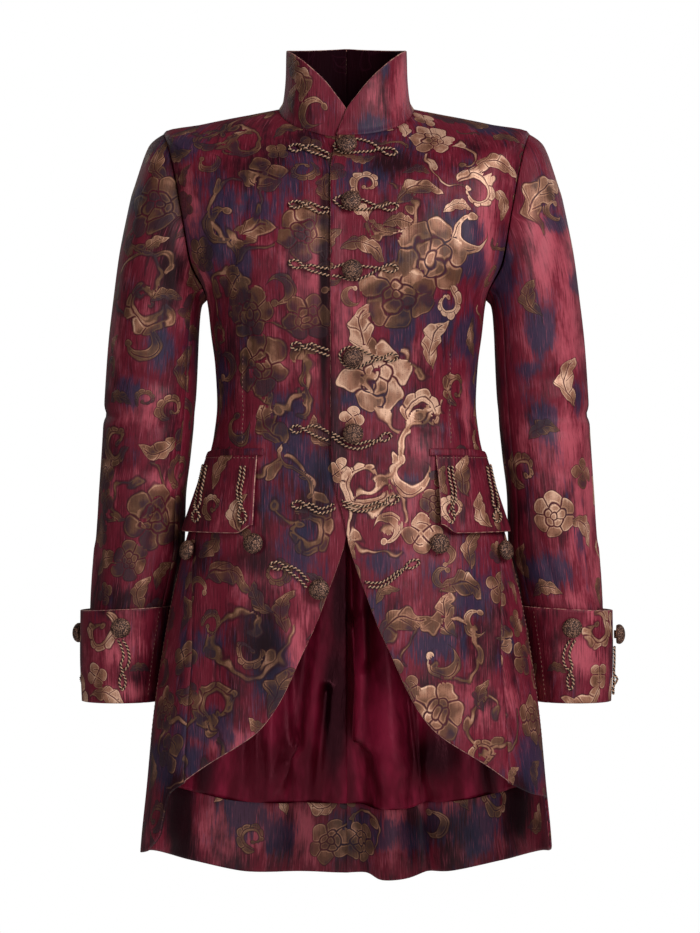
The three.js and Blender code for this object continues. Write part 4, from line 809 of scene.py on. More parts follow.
def brocade():
    """Silk jacquard: a warp-printed ground with feathered streaks, and supplementary gold weft; its dye
    attribute also carries painted light and shade.
    """
    material, tree, shader = new_material("silk brocade, jacquard woven")
    cloth, motif, tone = (add(tree, "ShaderNodeUVMap", uv_map=name) for name in ("cloth", "motif", "tone"))
    dye_and_light_attribute = add(tree, "ShaderNodeVertexColor", layer_name="dye_and_painted_light")
    dye_and_painted_light = add(tree, "ShaderNodeSeparateColor", (dye_and_light_attribute,), out=None)
    level = add(tree, "ShaderNodeSeparateXYZ", (tone,), out=None)
    spot = add(tree, "ShaderNodeSeparateXYZ", (motif,), out=None)

    # the printed warp threads run down the cloth and carry each colour up and down a little
    known = grains(tree, cloth, [
        ("thread", 1.7, 150, 2, 0.4), ("fine", 1.2, 24, 3, 3.1), ("streak", 5.0, 90, 3, 7.7),
        ("fleck", 9, 13, 3, 5.5), ("mottle", 14, 22, 3, 9.1), ("pass", 1.6, 1.1, 1, 17.0),
    ])
    known |= {"blue": dye_and_painted_light.outputs[0], "pink": dye_and_painted_light.outputs[1], "dark": dye_and_painted_light.outputs[2],
              "level": level.outputs[0], "chance": level.outputs[1], "u": spot.outputs[0], "v": spot.outputs[1]}
    shift = work_out("thread .5 - 75 * streak .5 - 45 * +", known, tree)
    fed = add(tree, "ShaderNodeVectorMath", (cloth, add(tree, "ShaderNodeCombineXYZ", (0.0, shift))))
    known |= grains(tree, fed, [("a", 34, 52, 2, 11.3), ("b", 30, 60, 2, 23.9), ("c", 42, 80, 2, 41.2)])
    ground = rgb("#6A1528")
    # blue, pink and dark come from the point attribute: mostly the print, but its dark is also painted shade
    # along the right front's edge, inside the tails and inside the collar, and some of its pink is painted
    # light on the left sleeve and the hem facing
    for formula, low, high, code, most in [
        ("b .66 * pink .44 * + fine .5 - .3 * + streak .5 - .34 * + fleck .5 - .3 * +",
         0.36, 0.64, "#B4505E", 0.88),
        ("c .75 * dark .3 * + streak .5 - .3 * + mottle .5 - .3 * +", 0.34, 0.58, "#240512", 0.92),
        ("a .75 * blue .46 * + fine .5 - .5 * + streak .5 - .3 * + fleck .5 - .3 * +",
         0.44, 0.64, "#25253F", 0.86),
        ("fine", 0.56, 0.76, "#A24A5A", 0.66),
        ("1 fine -", 0.53, 0.76, "#1A050A", 0.84),
        ("dark c .5 - .5 * +", 0.1, 0.9, "#19040A", 0.97),
    ]:
        share = add(tree, "ShaderNodeMapRange", (work_out(formula, known, tree), low, high, 0.0, most), **STEP)
        ground = add(tree, "ShaderNodeMix", {0: share, 6: ground, 7: rgb(code)}, **COLORS)

    # the motif that these faces belong to, drawn from its own coordinates
    wobble = add(tree, "ShaderNodeTexNoise", {"Vector": cloth, "Scale": 0.045, "Detail": 0.7}, out="Color")
    bend = add(tree, "ShaderNodeSeparateColor", (wobble,), out=None)
    known |= {"p": bend.outputs[0], "q": bend.outputs[1]}
    work_out("u 4 / round =k u k 4 * - p .5 - .58 * + =x v q .5 - .58 * + =y", known, tree)
    work_out(POLAR, known, tree)
    inside = 9.0
    for kind, formula in enumerate(MOTIF_FORMULAS):
        words = dict(known, shape=inside)
        words["own"] = work_out(formula, words, tree)
        inside = work_out(f"own k {kind} - abs .5 - 0 max 40 * + shape min", words, tree)
    known["i"] = inside
    gold = add(tree, "ShaderNodeMapRange", (inside, 0.014, -0.014), **STEP)
    halo = add(tree, "ShaderNodeMapRange", (work_out("i .012 - abs", known, tree), 0.05, 0.012), **STEP)
    lip = add(tree, "ShaderNodeMapRange", (work_out("i .035 + abs", known, tree), 0.03, 0.012), **STEP)
    known |= {"gold": gold, "halo": halo, "lip": lip}
    wear = work_out("fine .6 * fleck .5 * +", known, tree)
    known["worn"] = add(tree, "ShaderNodeMapRange", (wear, 0.38, 0.56), **STEP)

    # the gold fades across each petal into smoky weft, with a brighter lip and pass after pass of weft
    known["bright"] = work_out(
        "level chance .5 - .12 * + mottle .5 - .8 * + x y + .17 * + p .5 - 1.5 * + lip .2 * +", known, tree)
    weft = rgb("#33232A")
    for low, high, code in [(0.02, 0.34, "#634430"), (0.36, 0.72, "#A5755C"), (0.68, 1.05, "#DFB296")]:
        share = add(tree, "ShaderNodeMapRange", (known["bright"], low, high), **STEP)
        weft = add(tree, "ShaderNodeMix", {0: share, 6: weft, 7: rgb(code)}, **COLORS)
    between = work_out("pass .6 * fine .5 * +", known, tree)
    share = add(tree, "ShaderNodeMapRange", (between, 0.53, 0.36, 0.0, 0.6), **STEP)
    weft = add(tree, "ShaderNodeMix", {0: share, 6: weft, 7: rgb("#4E2426")}, **COLORS)
    # where the dark carries painted shade it dims the gold and, below, the specular shine as well
    share = known["share"] = work_out("gold worn .2 * .66 + lip .12 * + * 1.1 dark .7 * - 1 min *", known, tree)
    color = add(tree, "ShaderNodeMix", {0: work_out("halo .6 *", known, tree), 6: ground, 7: rgb("#2A0C16")},
                **COLORS)
    color = add(tree, "ShaderNodeMix", {0: share, 6: color, 7: weft}, **COLORS)
    tree.links.new(color, shader.inputs["Base Color"])
    tree.links.new(work_out(".52 share .04 * -", known, tree), shader.inputs["Roughness"])
    tree.links.new(work_out("share bright .2 + 0 max 1 min * .3 *", known, tree), shader.inputs["Metallic"])
    shader.inputs["Sheen Weight"].default_value = 0.03
    shader.inputs["Sheen Roughness"].default_value = 0.4
    shader.inputs["Sheen Tint"].default_value = rgb("#D88898")
    tree.links.new(work_out(".22 dark .13 * - 0 max", known, tree), shader.inputs["Specular IOR Level"])
    # thread ribs a little over 1 mm apart, coarser than the real 0.3 mm so that they show
    height = work_out("fine .35 * thread .3 * + pass gold * .3 * + gold .2 * + halo -.3 * +", known, tree)
    bump = add(tree, "ShaderNodeBump", {"Strength": 0.5, "Distance": 0.0007, "Height": height})
    # the cloth itself is never quite flat: soft pulls a few centimetres long
    tree.links.new(add(tree, "ShaderNodeBump", {"Strength": 0.35, "Distance": 0.006,
                                                "Height": work_out("b .5 * mottle .2 * +", known, tree),
                                                "Normal": bump}), shader.inputs["Normal"])
    return material


def satin():
    """Acetate satin: smooth, deep wine, with a soft streaked shine and shade painted into its colour, and fine
    drag lines.
    """
    material, tree, shader = new_material("acetate satin lining")
    cloth = add(tree, "ShaderNodeUVMap", uv_map="cloth")
    known = grains(tree, cloth, [
        ("soft", 26, 90, 3, 2.2), ("fine", 1.6, 60, 2, 4.4), ("crumple", 20, 60, 4, 8.8),
    ])
    dye_and_light_attribute = add(tree, "ShaderNodeVertexColor", layer_name="dye_and_painted_light")
    dye_and_painted_light = add(tree, "ShaderNodeSeparateColor", (dye_and_light_attribute,), out=None)
    known |= {"pink": dye_and_painted_light.outputs[1], "dark": dye_and_painted_light.outputs[2]}
    # painted light and shade: the soft pink streaks and pink blotches are painted shine on the lit folds, the
    # dark blotches painted shade in the fold valleys and under the fronts
    color = rgb("#52091A")
    for formula, low, high, code in [("soft pink .3 * +", 0.4, 0.8, "#A02444"),
                                     ("dark crumple .5 - .4 * +", 0.1, 0.95, "#160106")]:
        share = add(tree, "ShaderNodeMapRange", (work_out(formula, known, tree), low, high), **STEP)
        color = add(tree, "ShaderNodeMix", {0: share, 6: color, 7: rgb(code)}, **COLORS)
    tree.links.new(color, shader.inputs["Base Color"])
    shader.inputs["Roughness"].default_value = 0.34
    shader.inputs["Specular IOR Level"].default_value = 0.4
    shader.inputs["Specular Tint"].default_value = rgb("#F08098")
    height = work_out("crumple 1.1 * fine .05 * +", known, tree)
    bump = add(tree, "ShaderNodeBump", {"Strength": 0.6, "Distance": 0.004, "Height": height})
    tree.links.new(bump, shader.inputs["Normal"])
    return material


def piping():
    """Thin silk satin piping on the sewn edges, dusty rose, rubbed pale along the top of the roll."""
    material, tree, shader = new_material("silk satin piping")
    cloth = add(tree, "ShaderNodeUVMap", uv_map="cloth")
    known = grains(tree, cloth, [("rub", 6, 9, 3, 6.1), ("twill", 1.1, 1.4, 1, 2.7)])
    rubbed = work_out("rub .8 * twill .3 * +", known, tree)
    share = add(tree, "ShaderNodeMapRange", (rubbed, 0.42, 0.68), **STEP)
    color = add(tree, "ShaderNodeMix", {0: share, 6: rgb("#6E2436"), 7: rgb("#C4907E")}, **COLORS)
    tree.links.new(color, shader.inputs["Base Color"])
    shader.inputs["Roughness"].default_value = 0.45
    bump = add(tree, "ShaderNodeBump", {"Strength": 0.4, "Distance": 0.0004, "Height": known["twill"]})
    tree.links.new(bump, shader.inputs["Normal"])
    return material


def yarn(name, codes, rough, metallic):
    """Plied cord yarn: fine fibres along the strand."""
    material, tree, shader = new_material(name)
    place = add(tree, "ShaderNodeTexCoord", out="Object")
    grain = add(tree, "ShaderNodeTexNoise", {"Vector": place, "Scale": 1800.0, "Detail": 2.0})
    color = add(tree, "ShaderNodeMix", {0: grain, 6: rgb(codes[0]), 7: rgb(codes[1])}, **COLORS)
    tree.links.new(color, shader.inputs["Base Color"])
    shader.inputs["Roughness"].default_value = rough
    shader.inputs["Metallic"].default_value = metallic
    bump = add(tree, "ShaderNodeBump", {"Strength": 0.4, "Distance": 0.0002, "Height": grain})
    tree.links.new(bump, shader.inputs["Normal"])
    return material


def brass():
    """Antiqued brass, die cast and blackened, then rubbed back on the high wires."""
    material, tree, shader = new_material("antiqued brass, die cast")
    place = add(tree, "ShaderNodeTexCoord", out="Object")
    known = {"pits": add(tree, "ShaderNodeTexVoronoi", {"Vector": place, "Scale": 760.0}),
             "tarnish": add(tree, "ShaderNodeTexNoise", {"Vector": place, "Scale": 260.0, "Detail": 3.0})}
    shade = add(tree, "ShaderNodeMapRange", (work_out("pits tarnish .6 * +", known, tree), 0.35, 0.95), **STEP)
    color = add(tree, "ShaderNodeMix", {0: shade, 6: rgb("#AE8068"), 7: rgb("#301A18")}, **COLORS)
    tree.links.new(color, shader.inputs["Base Color"])
    shader.inputs["Metallic"].default_value = 0.45
    shader.inputs["Roughness"].default_value = 0.5
    bump = add(tree, "ShaderNodeBump", {"Strength": 0.7, "Distance": 0.0004,
                                        "Height": work_out("0 pits -", known, tree)})
    tree.links.new(bump, shader.inputs["Normal"])
    return material


# ---------- Meshes ----------
def make_mesh(name, verts, faces, materials, face_material=None, corner_uv=None):
    """One closed mesh in metres that rides on the jacket. Faces are turned to point outwards."""
    verts = np.asarray(verts, float)
    tri = np.array([(f[0], f[k], f[k + 1]) for f in faces for k in range(1, len(f) - 1)]) \
        if not isinstance(faces, np.ndarray) else np.concatenate([faces[:, [0, 1, 2]], faces[:, [0, 2, 3]]])
    a, b, c = (verts[tri[:, k]] for k in range(3))
    if np.einsum("ij,ij->", a, np.cross(b, c)) < 0:
        faces = faces[:, ::-1] if isinstance(faces, np.ndarray) else [f[::-1] for f in faces]
        if corner_uv is not None:
            corner_uv = {key: uv[:, ::-1] for key, uv in corner_uv.items()}
    mesh = bpy.data.meshes.new(name)
    mesh.from_pydata((verts * MM).tolist(), [], faces.tolist() if isinstance(faces, np.ndarray) else faces)
    for material in materials:
        mesh.materials.append(material)
    if face_material is not None:
        mesh.polygons.foreach_set("material_index", np.asarray(face_material, np.int32))
    for key, uv in (corner_uv or {}).items():
        layer = mesh.uv_layers.new(name=key)
        layer.data.foreach_set("uv", np.ascontiguousarray(uv, np.float32).reshape(-1))
    mesh.polygons.foreach_set("use_smooth", np.ones(len(mesh.polygons), bool))
    mesh.update()
    piece = bpy.data.objects.new(name, mesh)
    bpy.context.scene.collection.objects.link(piece)
    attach(piece, "root")
    return piece


def perimeter(rows, cols, tube):
    """Loops of (row, column) round a grid, each with its inner neighbours."""
    i, j = np.arange(cols), np.arange(rows)
    if tube:
        return [(np.full(cols, r), i, np.full(cols, n), i) for r, n in ((0, 1), (rows - 1, rows - 2))]
    jj = np.concatenate([np.zeros(cols - 1, int), j[:-1], np.full(cols - 1, rows - 1), j[:0:-1]])
    ii = np.concatenate([i[:-1], np.full(rows - 1, cols - 1), i[:0:-1], np.zeros(rows - 1, int)])
    return [(jj, ii, np.clip(jj, 1, rows - 2), np.clip(ii, 1, cols - 2))]


def wall(name, outer, inner, cloth, materials, tube=False, bulge=0.5, group="F", front_only=20, piped=((), ())):
    """A closed wall of cloth between two grids of points, with a soft rolled rim.

    piped names the rows and columns whose rim is piping, the third material."""
    rows, cols = outer.shape[:2]
    count = rows * cols
    wide = cols if tube else cols - 1
    j, i = np.meshgrid(np.arange(rows - 1), np.arange(wide), indexing="ij")
    j, i = j.ravel(), i.ravel()
    nxt = (i + 1) % cols

    def at(row, col):
        return row * cols + col

    quads = np.stack([at(j, i), at(j, nxt), at(j + 1, nxt), at(j + 1, i)], 1)
    uv = np.stack([cloth[j, i], cloth[j, i + 1], cloth[j + 1, i + 1], cloth[j + 1, i]], 1)
    faces = [quads, quads[:, ::-1] + count]
    uvs = [uv, uv[:, ::-1]]
    verts = [outer.reshape(-1, 3), inner.reshape(-1, 3)]
    start = 2 * count
    marks = [np.zeros(len(quads), int), np.ones(len(quads), int)]
    for jj, ii, nj, ni in perimeter(rows, cols, tube):
        if jj[0] == 0:
            jj, ii, nj, ni = jj[::-1], ii[::-1], nj[::-1], ni[::-1]
        middle = (outer[jj, ii] + inner[jj, ii]) / 2
        middle = middle + unit(outer[jj, ii] - outer[nj, ni]) * bulge
        k = np.arange(len(jj))
        n = (k + 1) % len(jj)
        verts.append(middle)
        a, b = at(jj, ii), at(jj[n], ii[n])
        m, p = start + k, start + n
        faces += [np.stack([a, m, p, b], 1)[:, ::-1], np.stack([m, a + count, b + count, p], 1)[:, ::-1]]
        edge = np.stack([cloth[jj, ii]] * 2 + [cloth[jj[n], ii[n]]] * 2, 1)
        uvs += [edge[:, ::-1], edge[:, ::-1]]
        hit = np.isin(jj, np.array(piped[0], int) % rows) | np.isin(ii, np.array(piped[1], int) % cols)
        marks += [np.tile(np.where(hit, 2, 0), 2)]
        start += len(jj)
    verts, uvs = np.concatenate(verts), np.concatenate(uvs)
    maps = {"cloth": uvs}
    if group and group != "L":
        grid_uv = cloth[:, :cols]
        seed = sum(map(ord, name))
        maps["motif"], maps["tone"] = lay_motifs(group, grid_uv, uvs, outer, front_only, seed)
        # painted shade: the gold inside the collar is dimmed
        if group == "N":
            maps["tone"][len(quads):2 * len(quads), :, 0] *= 0.2
    piece = make_mesh(name, verts, np.concatenate(faces), materials, np.concatenate(marks), maps)
    if group:
        dye_and_painted_light = piece.data.color_attributes.new(name="dye_and_painted_light", type="FLOAT_COLOR", domain="POINT")
        color = np.ones((len(verts), 4), np.float32)
        color[:, :3] = dye_and_painted_light_of(verts, front_only, LINING_PAINTED_LIGHT if group == "L" else DYES_AND_PAINTED_LIGHT)
        if group == "N":  # painted shade: the inside of the collar is darkened
            color[count:2 * count, 2] = 1.6
        dye_and_painted_light.data.foreach_set("color", color.ravel())
    return piece


def arc(grid, axis):
    """How far each point lies along the grid, in millimetres."""
    step = np.linalg.norm(np.diff(grid, axis=axis), axis=-1)
    shape = list(grid.shape[:2])
    shape[axis] = 1
    return np.concatenate([np.zeros(shape), np.cumsum(step, axis=axis)], axis=axis)


def cloth_of(grid, start_column=0):
    """The cloth's own flat coordinates: level distance from one column, and the height."""
    across = arc(grid * (1, 1, 0), 1)
    across = across - across[:, start_column:start_column + 1]
    slope = 0.55 * (105 - np.abs(grid[..., 1])) * smooth(-150, -40, grid[..., 2])
    return np.stack([across, grid[..., 2] + slope], -1)


def strokes(a, b, rows):
    """Soft ridges (+) and troughs (-) along straight strokes: from, to, width and depth."""
    total = np.zeros(np.broadcast(a, b).shape)
    for a0, b0, a1, b1, wide, deep in rows:
        da, db = a1 - a0, b1 - b0
        t = np.clip(((a - a0) * da + (b - b0) * db) / (da * da + db * db), 0, 1)
        off = np.hypot(a - a0 - t * da, b - b0 - t * db)
        total = total + deep * np.exp(-((off / wide) ** 2))
    return total


# ---------- The cut pieces of the body ----------
def rows_between(*parts):
    """Rings from one place to the next, each part given as (from, to, count)."""
    rings = [parts[0][0]]
    for low, high, count in parts:
        rings += [mix(low, high, (n + 1) / count) for n in range(count)]
    return np.array(rings)


def column_rings(rings, foot, tail_rows):
    """A ring for each row and column: level above the waist and shared below it."""
    share = (np.arange(tail_rows) + 1) / tail_rows
    top = np.repeat(rings[:, None], len(foot), 1)
    return np.concatenate([top, tail_ring(foot[None, :], share[:, None])])


def seam_pinch(grid, left, right, depth=1.0, wide=2.6):
    """The cloth sinks beside a sewn seam. left and right say which side edges are sewn."""
    across = arc(grid, 1)
    width = across[:, -1:]
    lift = np.zeros(across.shape)
    if left:
        lift -= depth * np.exp(-((across / wide) ** 2))
    if right:
        lift -= depth * np.exp(-(((width - across) / wide) ** 2))
    return lift


def two_faces(base, out, lift, under, side=1):
    """The outer and the inner face of a cloth wall, raised off a surface by lift and by under."""
    faces = base + out * lift[..., None], base + out * under[..., None]
    for grid in faces:
        grid[..., 0] *= side
    return faces


def body_piece(name, turn, ring, lift, thick, materials, mirrored=1, uv_column=0, group="F", front_only=20,
               piped=((), ())):
    """A cut piece on the body. uv_column is the column where its cloth hangs straight."""
    base = skin(turn, ring)
    outer, inner = two_faces(base, body_up(turn, ring), lift, lift - thick, mirrored)
    cloth = cloth_of(base, uv_column)
    cloth[..., 0] *= mirrored
    return wall(name, outer, inner, cloth, materials, group=group, front_only=front_only, piped=piped)


def sink_of(turn, ring):
    """How far the right front lies under the left one."""
    return -FRONT_UNDERLAP * smooth(46, 24, skin(turn, ring)[..., 0])


def build_front(side, materials):
    u = np.linspace(0, 1, 105)
    rings = rows_between((NECK, SHOULDER, 16), (SHOULDER, SIDE_SEAM_TOP, 46), (SIDE_SEAM_TOP, WAIST, 38))
    ring = column_rings(rings, front_foot(u), 118)
    turn = front_column_turn(u[None, :], ring)
    grid = skin(turn, ring)
    lift = front_form(side, grid) + seam_pinch(grid, False, True)
    if side < 0:
        lift = lift + sink_of(turn, ring)
    return body_piece(f"brocade_front_{HAND[side]}", turn, ring, lift, CLOTH, materials, side,
                      piped=((-1,), (0,)))


def build_side_back(side, materials):
    s = np.linspace(0, 1, 73)
    top, turn_at = side_columns(side, s)
    share = np.linspace(0, 1, 39)
    upper = mix(top[None, :], WAIST, share[:, None])
    foot = foot_of(turn_at, side, s.shape)
    lower = tail_ring(foot[None, :], (np.arange(138) + 1)[:, None] / 138)
    ring = np.concatenate([upper, lower])
    turn = turn_at(ring) * side
    grid = skin(turn, ring)
    lift = back_form(turn, grid) + seam_pinch(grid, True, True)
    return body_piece(f"brocade_side_back_{HAND[side]}", turn, ring, lift, CLOTH, materials, uv_column=36)


def build_back(side, materials):
    u = np.linspace(0, 1, 33)
    rings = rows_between((NECK, SHOULDER, 18), (SHOULDER, BACK_SEAM_TOP, 30), (BACK_SEAM_TOP, WAIST, 64))
    foot = foot_of(lambda r: back_turn(u, r), side, u.shape)
    ring = column_rings(rings, foot, 145)
    turn = back_turn(u[None, :], ring) * side
    grid = skin(turn, ring)
    lift = back_form(turn, grid) + seam_pinch(grid, True, True)
    return body_piece(f"brocade_back_{HAND[side]}", turn, ring, lift, CLOTH, materials, uv_column=32)


# Columns of a tail's inner layers over the side-back and the back, the slit between one layer and the
# next in rings, and how far aft they can be seen from the front
TAIL = {"side": 61, "back": 30, "gap": 0.005, "seen": 400}


def tail_layer(name, side, low, high, rows, fold, group, material):
    """The facing or lining inside a tail, along the columns of the side-back and the back."""
    s, u = np.linspace(0, 1, TAIL["side"]), np.linspace(0, 1, TAIL["back"] + 1)[1:]
    _, turn_at = side_columns(side, s)

    def turns(ring):
        return np.concatenate([turn_at(ring[..., :TAIL["side"]]), back_turn(u, ring[..., TAIL["side"]:])], -1)

    foot = foot_of(turns, side, (TAIL["side"] + TAIL["back"],))
    share = np.linspace(low, high, rows + 1)
    ring = tail_ring(foot[None, :], share[:, None])
    ring[-1] += TAIL["gap"]
    turn = turns(ring) * side
    grid = skin(turn, ring)
    inward = fold(side, turn, grid) * (1 - smooth(0.94, 1, share))[:, None]
    lift = back_form(turn, grid) - CLOTH - LINING_LAYER - inward
    return body_piece(name, turn, ring, lift, LINING_CLOTH, [material] * 2, uv_column=TAIL["side"] - 1,
                      group=group, front_only=TAIL["seen"])


def build_collar(side, materials):
    u, v = np.linspace(0, 1, 109), np.linspace(0, 1, 29)
    turn = np.broadcast_to(mix(COLLAR_START, 180 - 0.3, u ** 1.15)[None, :], (29, 109))
    up = np.broadcast_to(v[:, None], (29, 109))
    under = -COLLAR_UNDERLAP * smooth(38, 18, turn) if side < 0 else 0
    out = facing(collar_skin, turn, np.clip(up, 0.05, 0.95), 0.5, 0.03)
    base = collar_skin(turn, up)
    lift = under + collar_form(side, turn, up)
    outer, inner = two_faces(base, out, lift, lift - CLOTH, side)
    cloth = cloth_of(base, 0)
    cloth[..., 1] = base[..., 2]
    cloth[..., 0] *= side
    return wall(f"brocade_collar_{HAND[side]}", outer, inner, cloth, materials, bulge=0.7, group="N",
                front_only=10, piped=((-1,), (0,)))


def build_sleeve(name, side, start, end, columns, materials):
    shift = SEAM / 2 / (ARM_RADIUS * DEGREE)
    turn = np.linspace(start + shift, end - shift, columns + 1)[None, :]
    ring = np.concatenate([np.linspace(0, 1, 13)[:-1], np.linspace(1, 14, 178)])[:, None]
    turn, ring = np.broadcast_arrays(turn, ring)
    out = facing(sleeve_skin, turn, np.clip(ring, 0.03, 13.97), 0.5, 0.03)
    base = sleeve_skin(turn, ring)
    lift = sleeve_form(turn, base) + seam_pinch(base, True, True, 0.8, 2.4)
    lift = lift - 0.35 * np.exp(-((arc(base, 0) / 3.0) ** 2))
    outer, inner = two_faces(base, out, lift, lift - CLOTH, side)
    # the weave goes level round the sleeve's own middle line
    rings = np.arange(len(SLEEVE))
    heights = (ARM["topZ"](rings) + ARM["lowZ"](rings)) / 2
    across = base[..., 0] - np.interp(-base[..., 2], -heights, (ARM["topX"](rings) + ARM["lowX"](rings)) / 2)
    ahead = np.interp(-base[..., 2], -heights, ARM["mid"](rings)) - base[..., 1]
    level = np.degrees(np.arctan2(ahead, across))
    level += 360 * np.round((turn - level) / 360)
    cloth = np.stack([(level - (start + end) / 2) * SLEEVE_TURN_MM * -side, base[..., 2]], -1)
    return wall(f"{name}_{HAND[side]}", outer, inner, cloth, materials, group="S", front_only=20)


def build_cuff(side, materials):
    columns, rows = 120, 34
    turn = np.linspace(0, 360, columns + 1)[None, :]
    down = np.linspace(0, 1, rows + 1)[:, None]
    turn, down = np.broadcast_arrays(turn + 0.0, down)
    base = cuff_skin(turn, down)
    out = cuff_up(turn, down)
    lift = cuff_form(turn, down)
    outer, inner = two_faces(base, out, lift, lift - CLOTH, side)
    cloth = cloth_of(base, 0)
    cloth[..., 0] *= -side
    return wall(f"brocade_cuff_{HAND[side]}", outer[:, :-1], inner[:, :-1], cloth, materials, tube=True,
                group="C", front_only=30, piped=((0,), ()))


def turn_across(x, ring):
    """The turn of the place at x on each ring of the front."""
    return solve(lambda t: skin(t, ring)[..., 0] - x, np.full(np.shape(ring), 10.0),
                 np.full(np.shape(ring), 85.0))


def flap_lift(z):
    """How far a flap's inside stands off the hip."""
    return FLAP["lift"] + FLAP["flare"] * smooth(FLAP["top"], FLAP["bottom"], z) ** 0.8


def build_flap(side, materials):
    u, v = np.linspace(0, 1, 49)[None, :], np.linspace(0, 1, 33)[:, None]
    foot = FLAP["bottom"] + FLAP["corner"] * (1 - smooth(0, 0.15, u))
    ring = ring_of(mix(FLAP["top"] - WELT["sag"] * u ** 3, foot, v))
    turn = mix(turn_across(FLAP["start"], ring) + v, FLAP["wrap"], u)
    base = skin(turn, ring)
    lift = flap_lift(BODY["side"](ring)) + flap_form(side, u + 0 * v, v + 0 * u)
    outer, inner = two_faces(base, body_up(turn, ring), lift + CLOTH, lift, side)
    cloth = cloth_of(base, 0)
    cloth[..., 0] *= side
    return wall(f"brocade_flap_{HAND[side]}", outer, inner, cloth, materials, bulge=0.7, group="P",
                front_only=90, piped=((-1,), (0, -1)))


def build_welt(side, materials):
    u, v = np.linspace(0, 1, 49)[None, :], np.linspace(0, 1, 7)[:, None]
    ring = ring_of(FLAP["top"] - WELT["sag"] * u ** 3 + WELT["gap"] + WELT["height"] * (1 - v))
    turn = mix(turn_across(WELT["start"], ring), FLAP["wrap"], u)
    base = skin(turn, ring)
    puff = 0.5 * np.sin(np.pi * v) + 0 * u
    under = WELT["lift"] + 0 * puff
    outer, inner = two_faces(base, body_up(turn, ring), under + CLOTH + puff, under, side)
    cloth = cloth_of(base, 0)
    cloth[..., 0] = cloth[..., 0] * side + 60
    return wall(f"brocade_welt_{HAND[side]}", outer, inner, cloth, materials, group="W")


# ---------- Places on the cloth for cords and buttons ----------
def front_spot(x, z):
    """Turn and ring of the place on the front that shows at x and z."""
    turn, ring = np.degrees(np.arctan2(x, 110)), np.full(np.shape(x), float(ARMPIT))
    low, high = np.full(np.shape(x), -89.0), np.full(np.shape(x), 89.0)
    for _ in range(8):
        ring = solve(lambda r: skin(turn, r)[..., 2] - z, 0 * high, 0 * high + NECK, 26)
        turn = solve(lambda t: skin(t, ring)[..., 0] - x, low, high, 26)
    return turn, ring


def on_body(side, sunk):
    """Places on the front of the body at x and z, sunk where the right front lies under the left."""
    def place(x, z, lift):
        x, z, lift = (np.asarray(v, float) for v in (x, z, lift))
        turn, ring = front_spot(x * side, z)
        up = body_up(turn, ring)
        base = skin(turn, ring)
        extra = sink_of(turn, ring) if sunk else 0
        at = base + up * (lift + extra + front_form(side, base))[..., None]
        flip = np.array([side, 1, 1])
        return at * flip, up * flip
    return place


def on_flap(side):
    """Places on a pocket flap at x and z."""
    def place(x, z, lift):
        x, z, lift = (np.asarray(v, float) for v in (x, z, lift))
        turn, ring = front_spot(x * side, z)
        up = body_up(turn, ring)
        at = skin(turn, ring) + up * (lift + CLOTH + flap_lift(BODY["side"](ring)))[..., None]
        flip = np.array([side, 1, 1])
        return at * flip, up * flip
    return place


def on_cuff(side, start, z):
    """Places on a cuff, aside from a turn and down from a height."""
    def place(aside, down, lift):
        aside, down, lift = (np.asarray(v, float) for v in (aside, down, lift))
        share = (CUFF["top"] - z + down) / (CUFF["top"] - CUFF["bottom"])
        turn = start + aside / (ARM_RADIUS * DEGREE)
        up = cuff_up(turn, share)
        at = cuff_skin(turn, share) + up * lift[..., None]
        flip = np.array([side, 1, 1])
        return at * flip, up * flip
    return place


def catmull(marks, loop, step):
    """Points every step along a smooth centripetal curve through the marks."""
    marks = np.asarray(marks, float)
    if loop:
        line = np.concatenate([marks[-1:], marks, marks[:2]])
    else:
        line = np.concatenate([2 * marks[:1] - marks[1:2], marks, 2 * marks[-1:] - marks[-2:-1]])
    found = []
    for k in range(1, len(line) - 2):
        p = line[k - 1:k + 3]
        gaps = np.maximum(np.linalg.norm(np.diff(p, axis=0), axis=1), 1e-6)
        t = np.concatenate([[0], np.cumsum(np.sqrt(gaps))])
        s = np.linspace(t[1], t[2], 24, endpoint=False)[:, None]
        a = [((t[i + 1] - s) * p[i] + (s - t[i]) * p[i + 1]) / (t[i + 1] - t[i]) for i in range(3)]
        b = [((t[i + 2] - s) * a[i] + (s - t[i]) * a[i + 1]) / (t[i + 2] - t[i]) for i in range(2)]
        found.append((t[2] - s) / (t[2] - t[1]) * b[0] + (s - t[1]) / (t[2] - t[1]) * b[1])
    dense = np.concatenate(found + [marks[:1] if loop else marks[-1:]])
    long = np.concatenate([[0], np.cumsum(np.linalg.norm(np.diff(dense, axis=0), axis=1))])
    count = max(int(long[-1] / step), 8)
    where = np.linspace(0, long[-1], count + 1)
    line = np.stack([np.interp(where, long, dense[:, k]) for k in range(dense.shape[1])], 1)
    return line[:-1] if loop else line


def frog_line(go, cross, tip, back, loop):
    """The way of a frog's cord: out, round its eye and back over itself."""
    cross, tip = np.array(cross, float), np.array(tip, float)
    axis = tip - cross
    long = np.hypot(*axis)
    last = np.array(go[-1], float) - cross
    way = np.sign(axis[0] * last[1] - axis[1] * last[0])

    def eye(along, aside):
        return (*(cross + axis * along + np.array([-axis[1], axis[0]]) / long * aside * way), 0)

    marks = [(x, z, 0) for x, z in go] + [(*cross, 0), eye(0.5, -CORD["eye"]), eye(0.9, -CORD["eye"] * 0.6),
                                          (*tip, 0), eye(0.9, CORD["eye"] * 0.6), eye(0.5, CORD["eye"]),
                                          (*cross, CORD["over"])] + [(x, z, 0) for x, z in back]
    return catmull(marks, loop, 0.75)


STRAND = {"offset": 0.78, "radius": 0.86, "pitch": 4.4, "sides": 6}


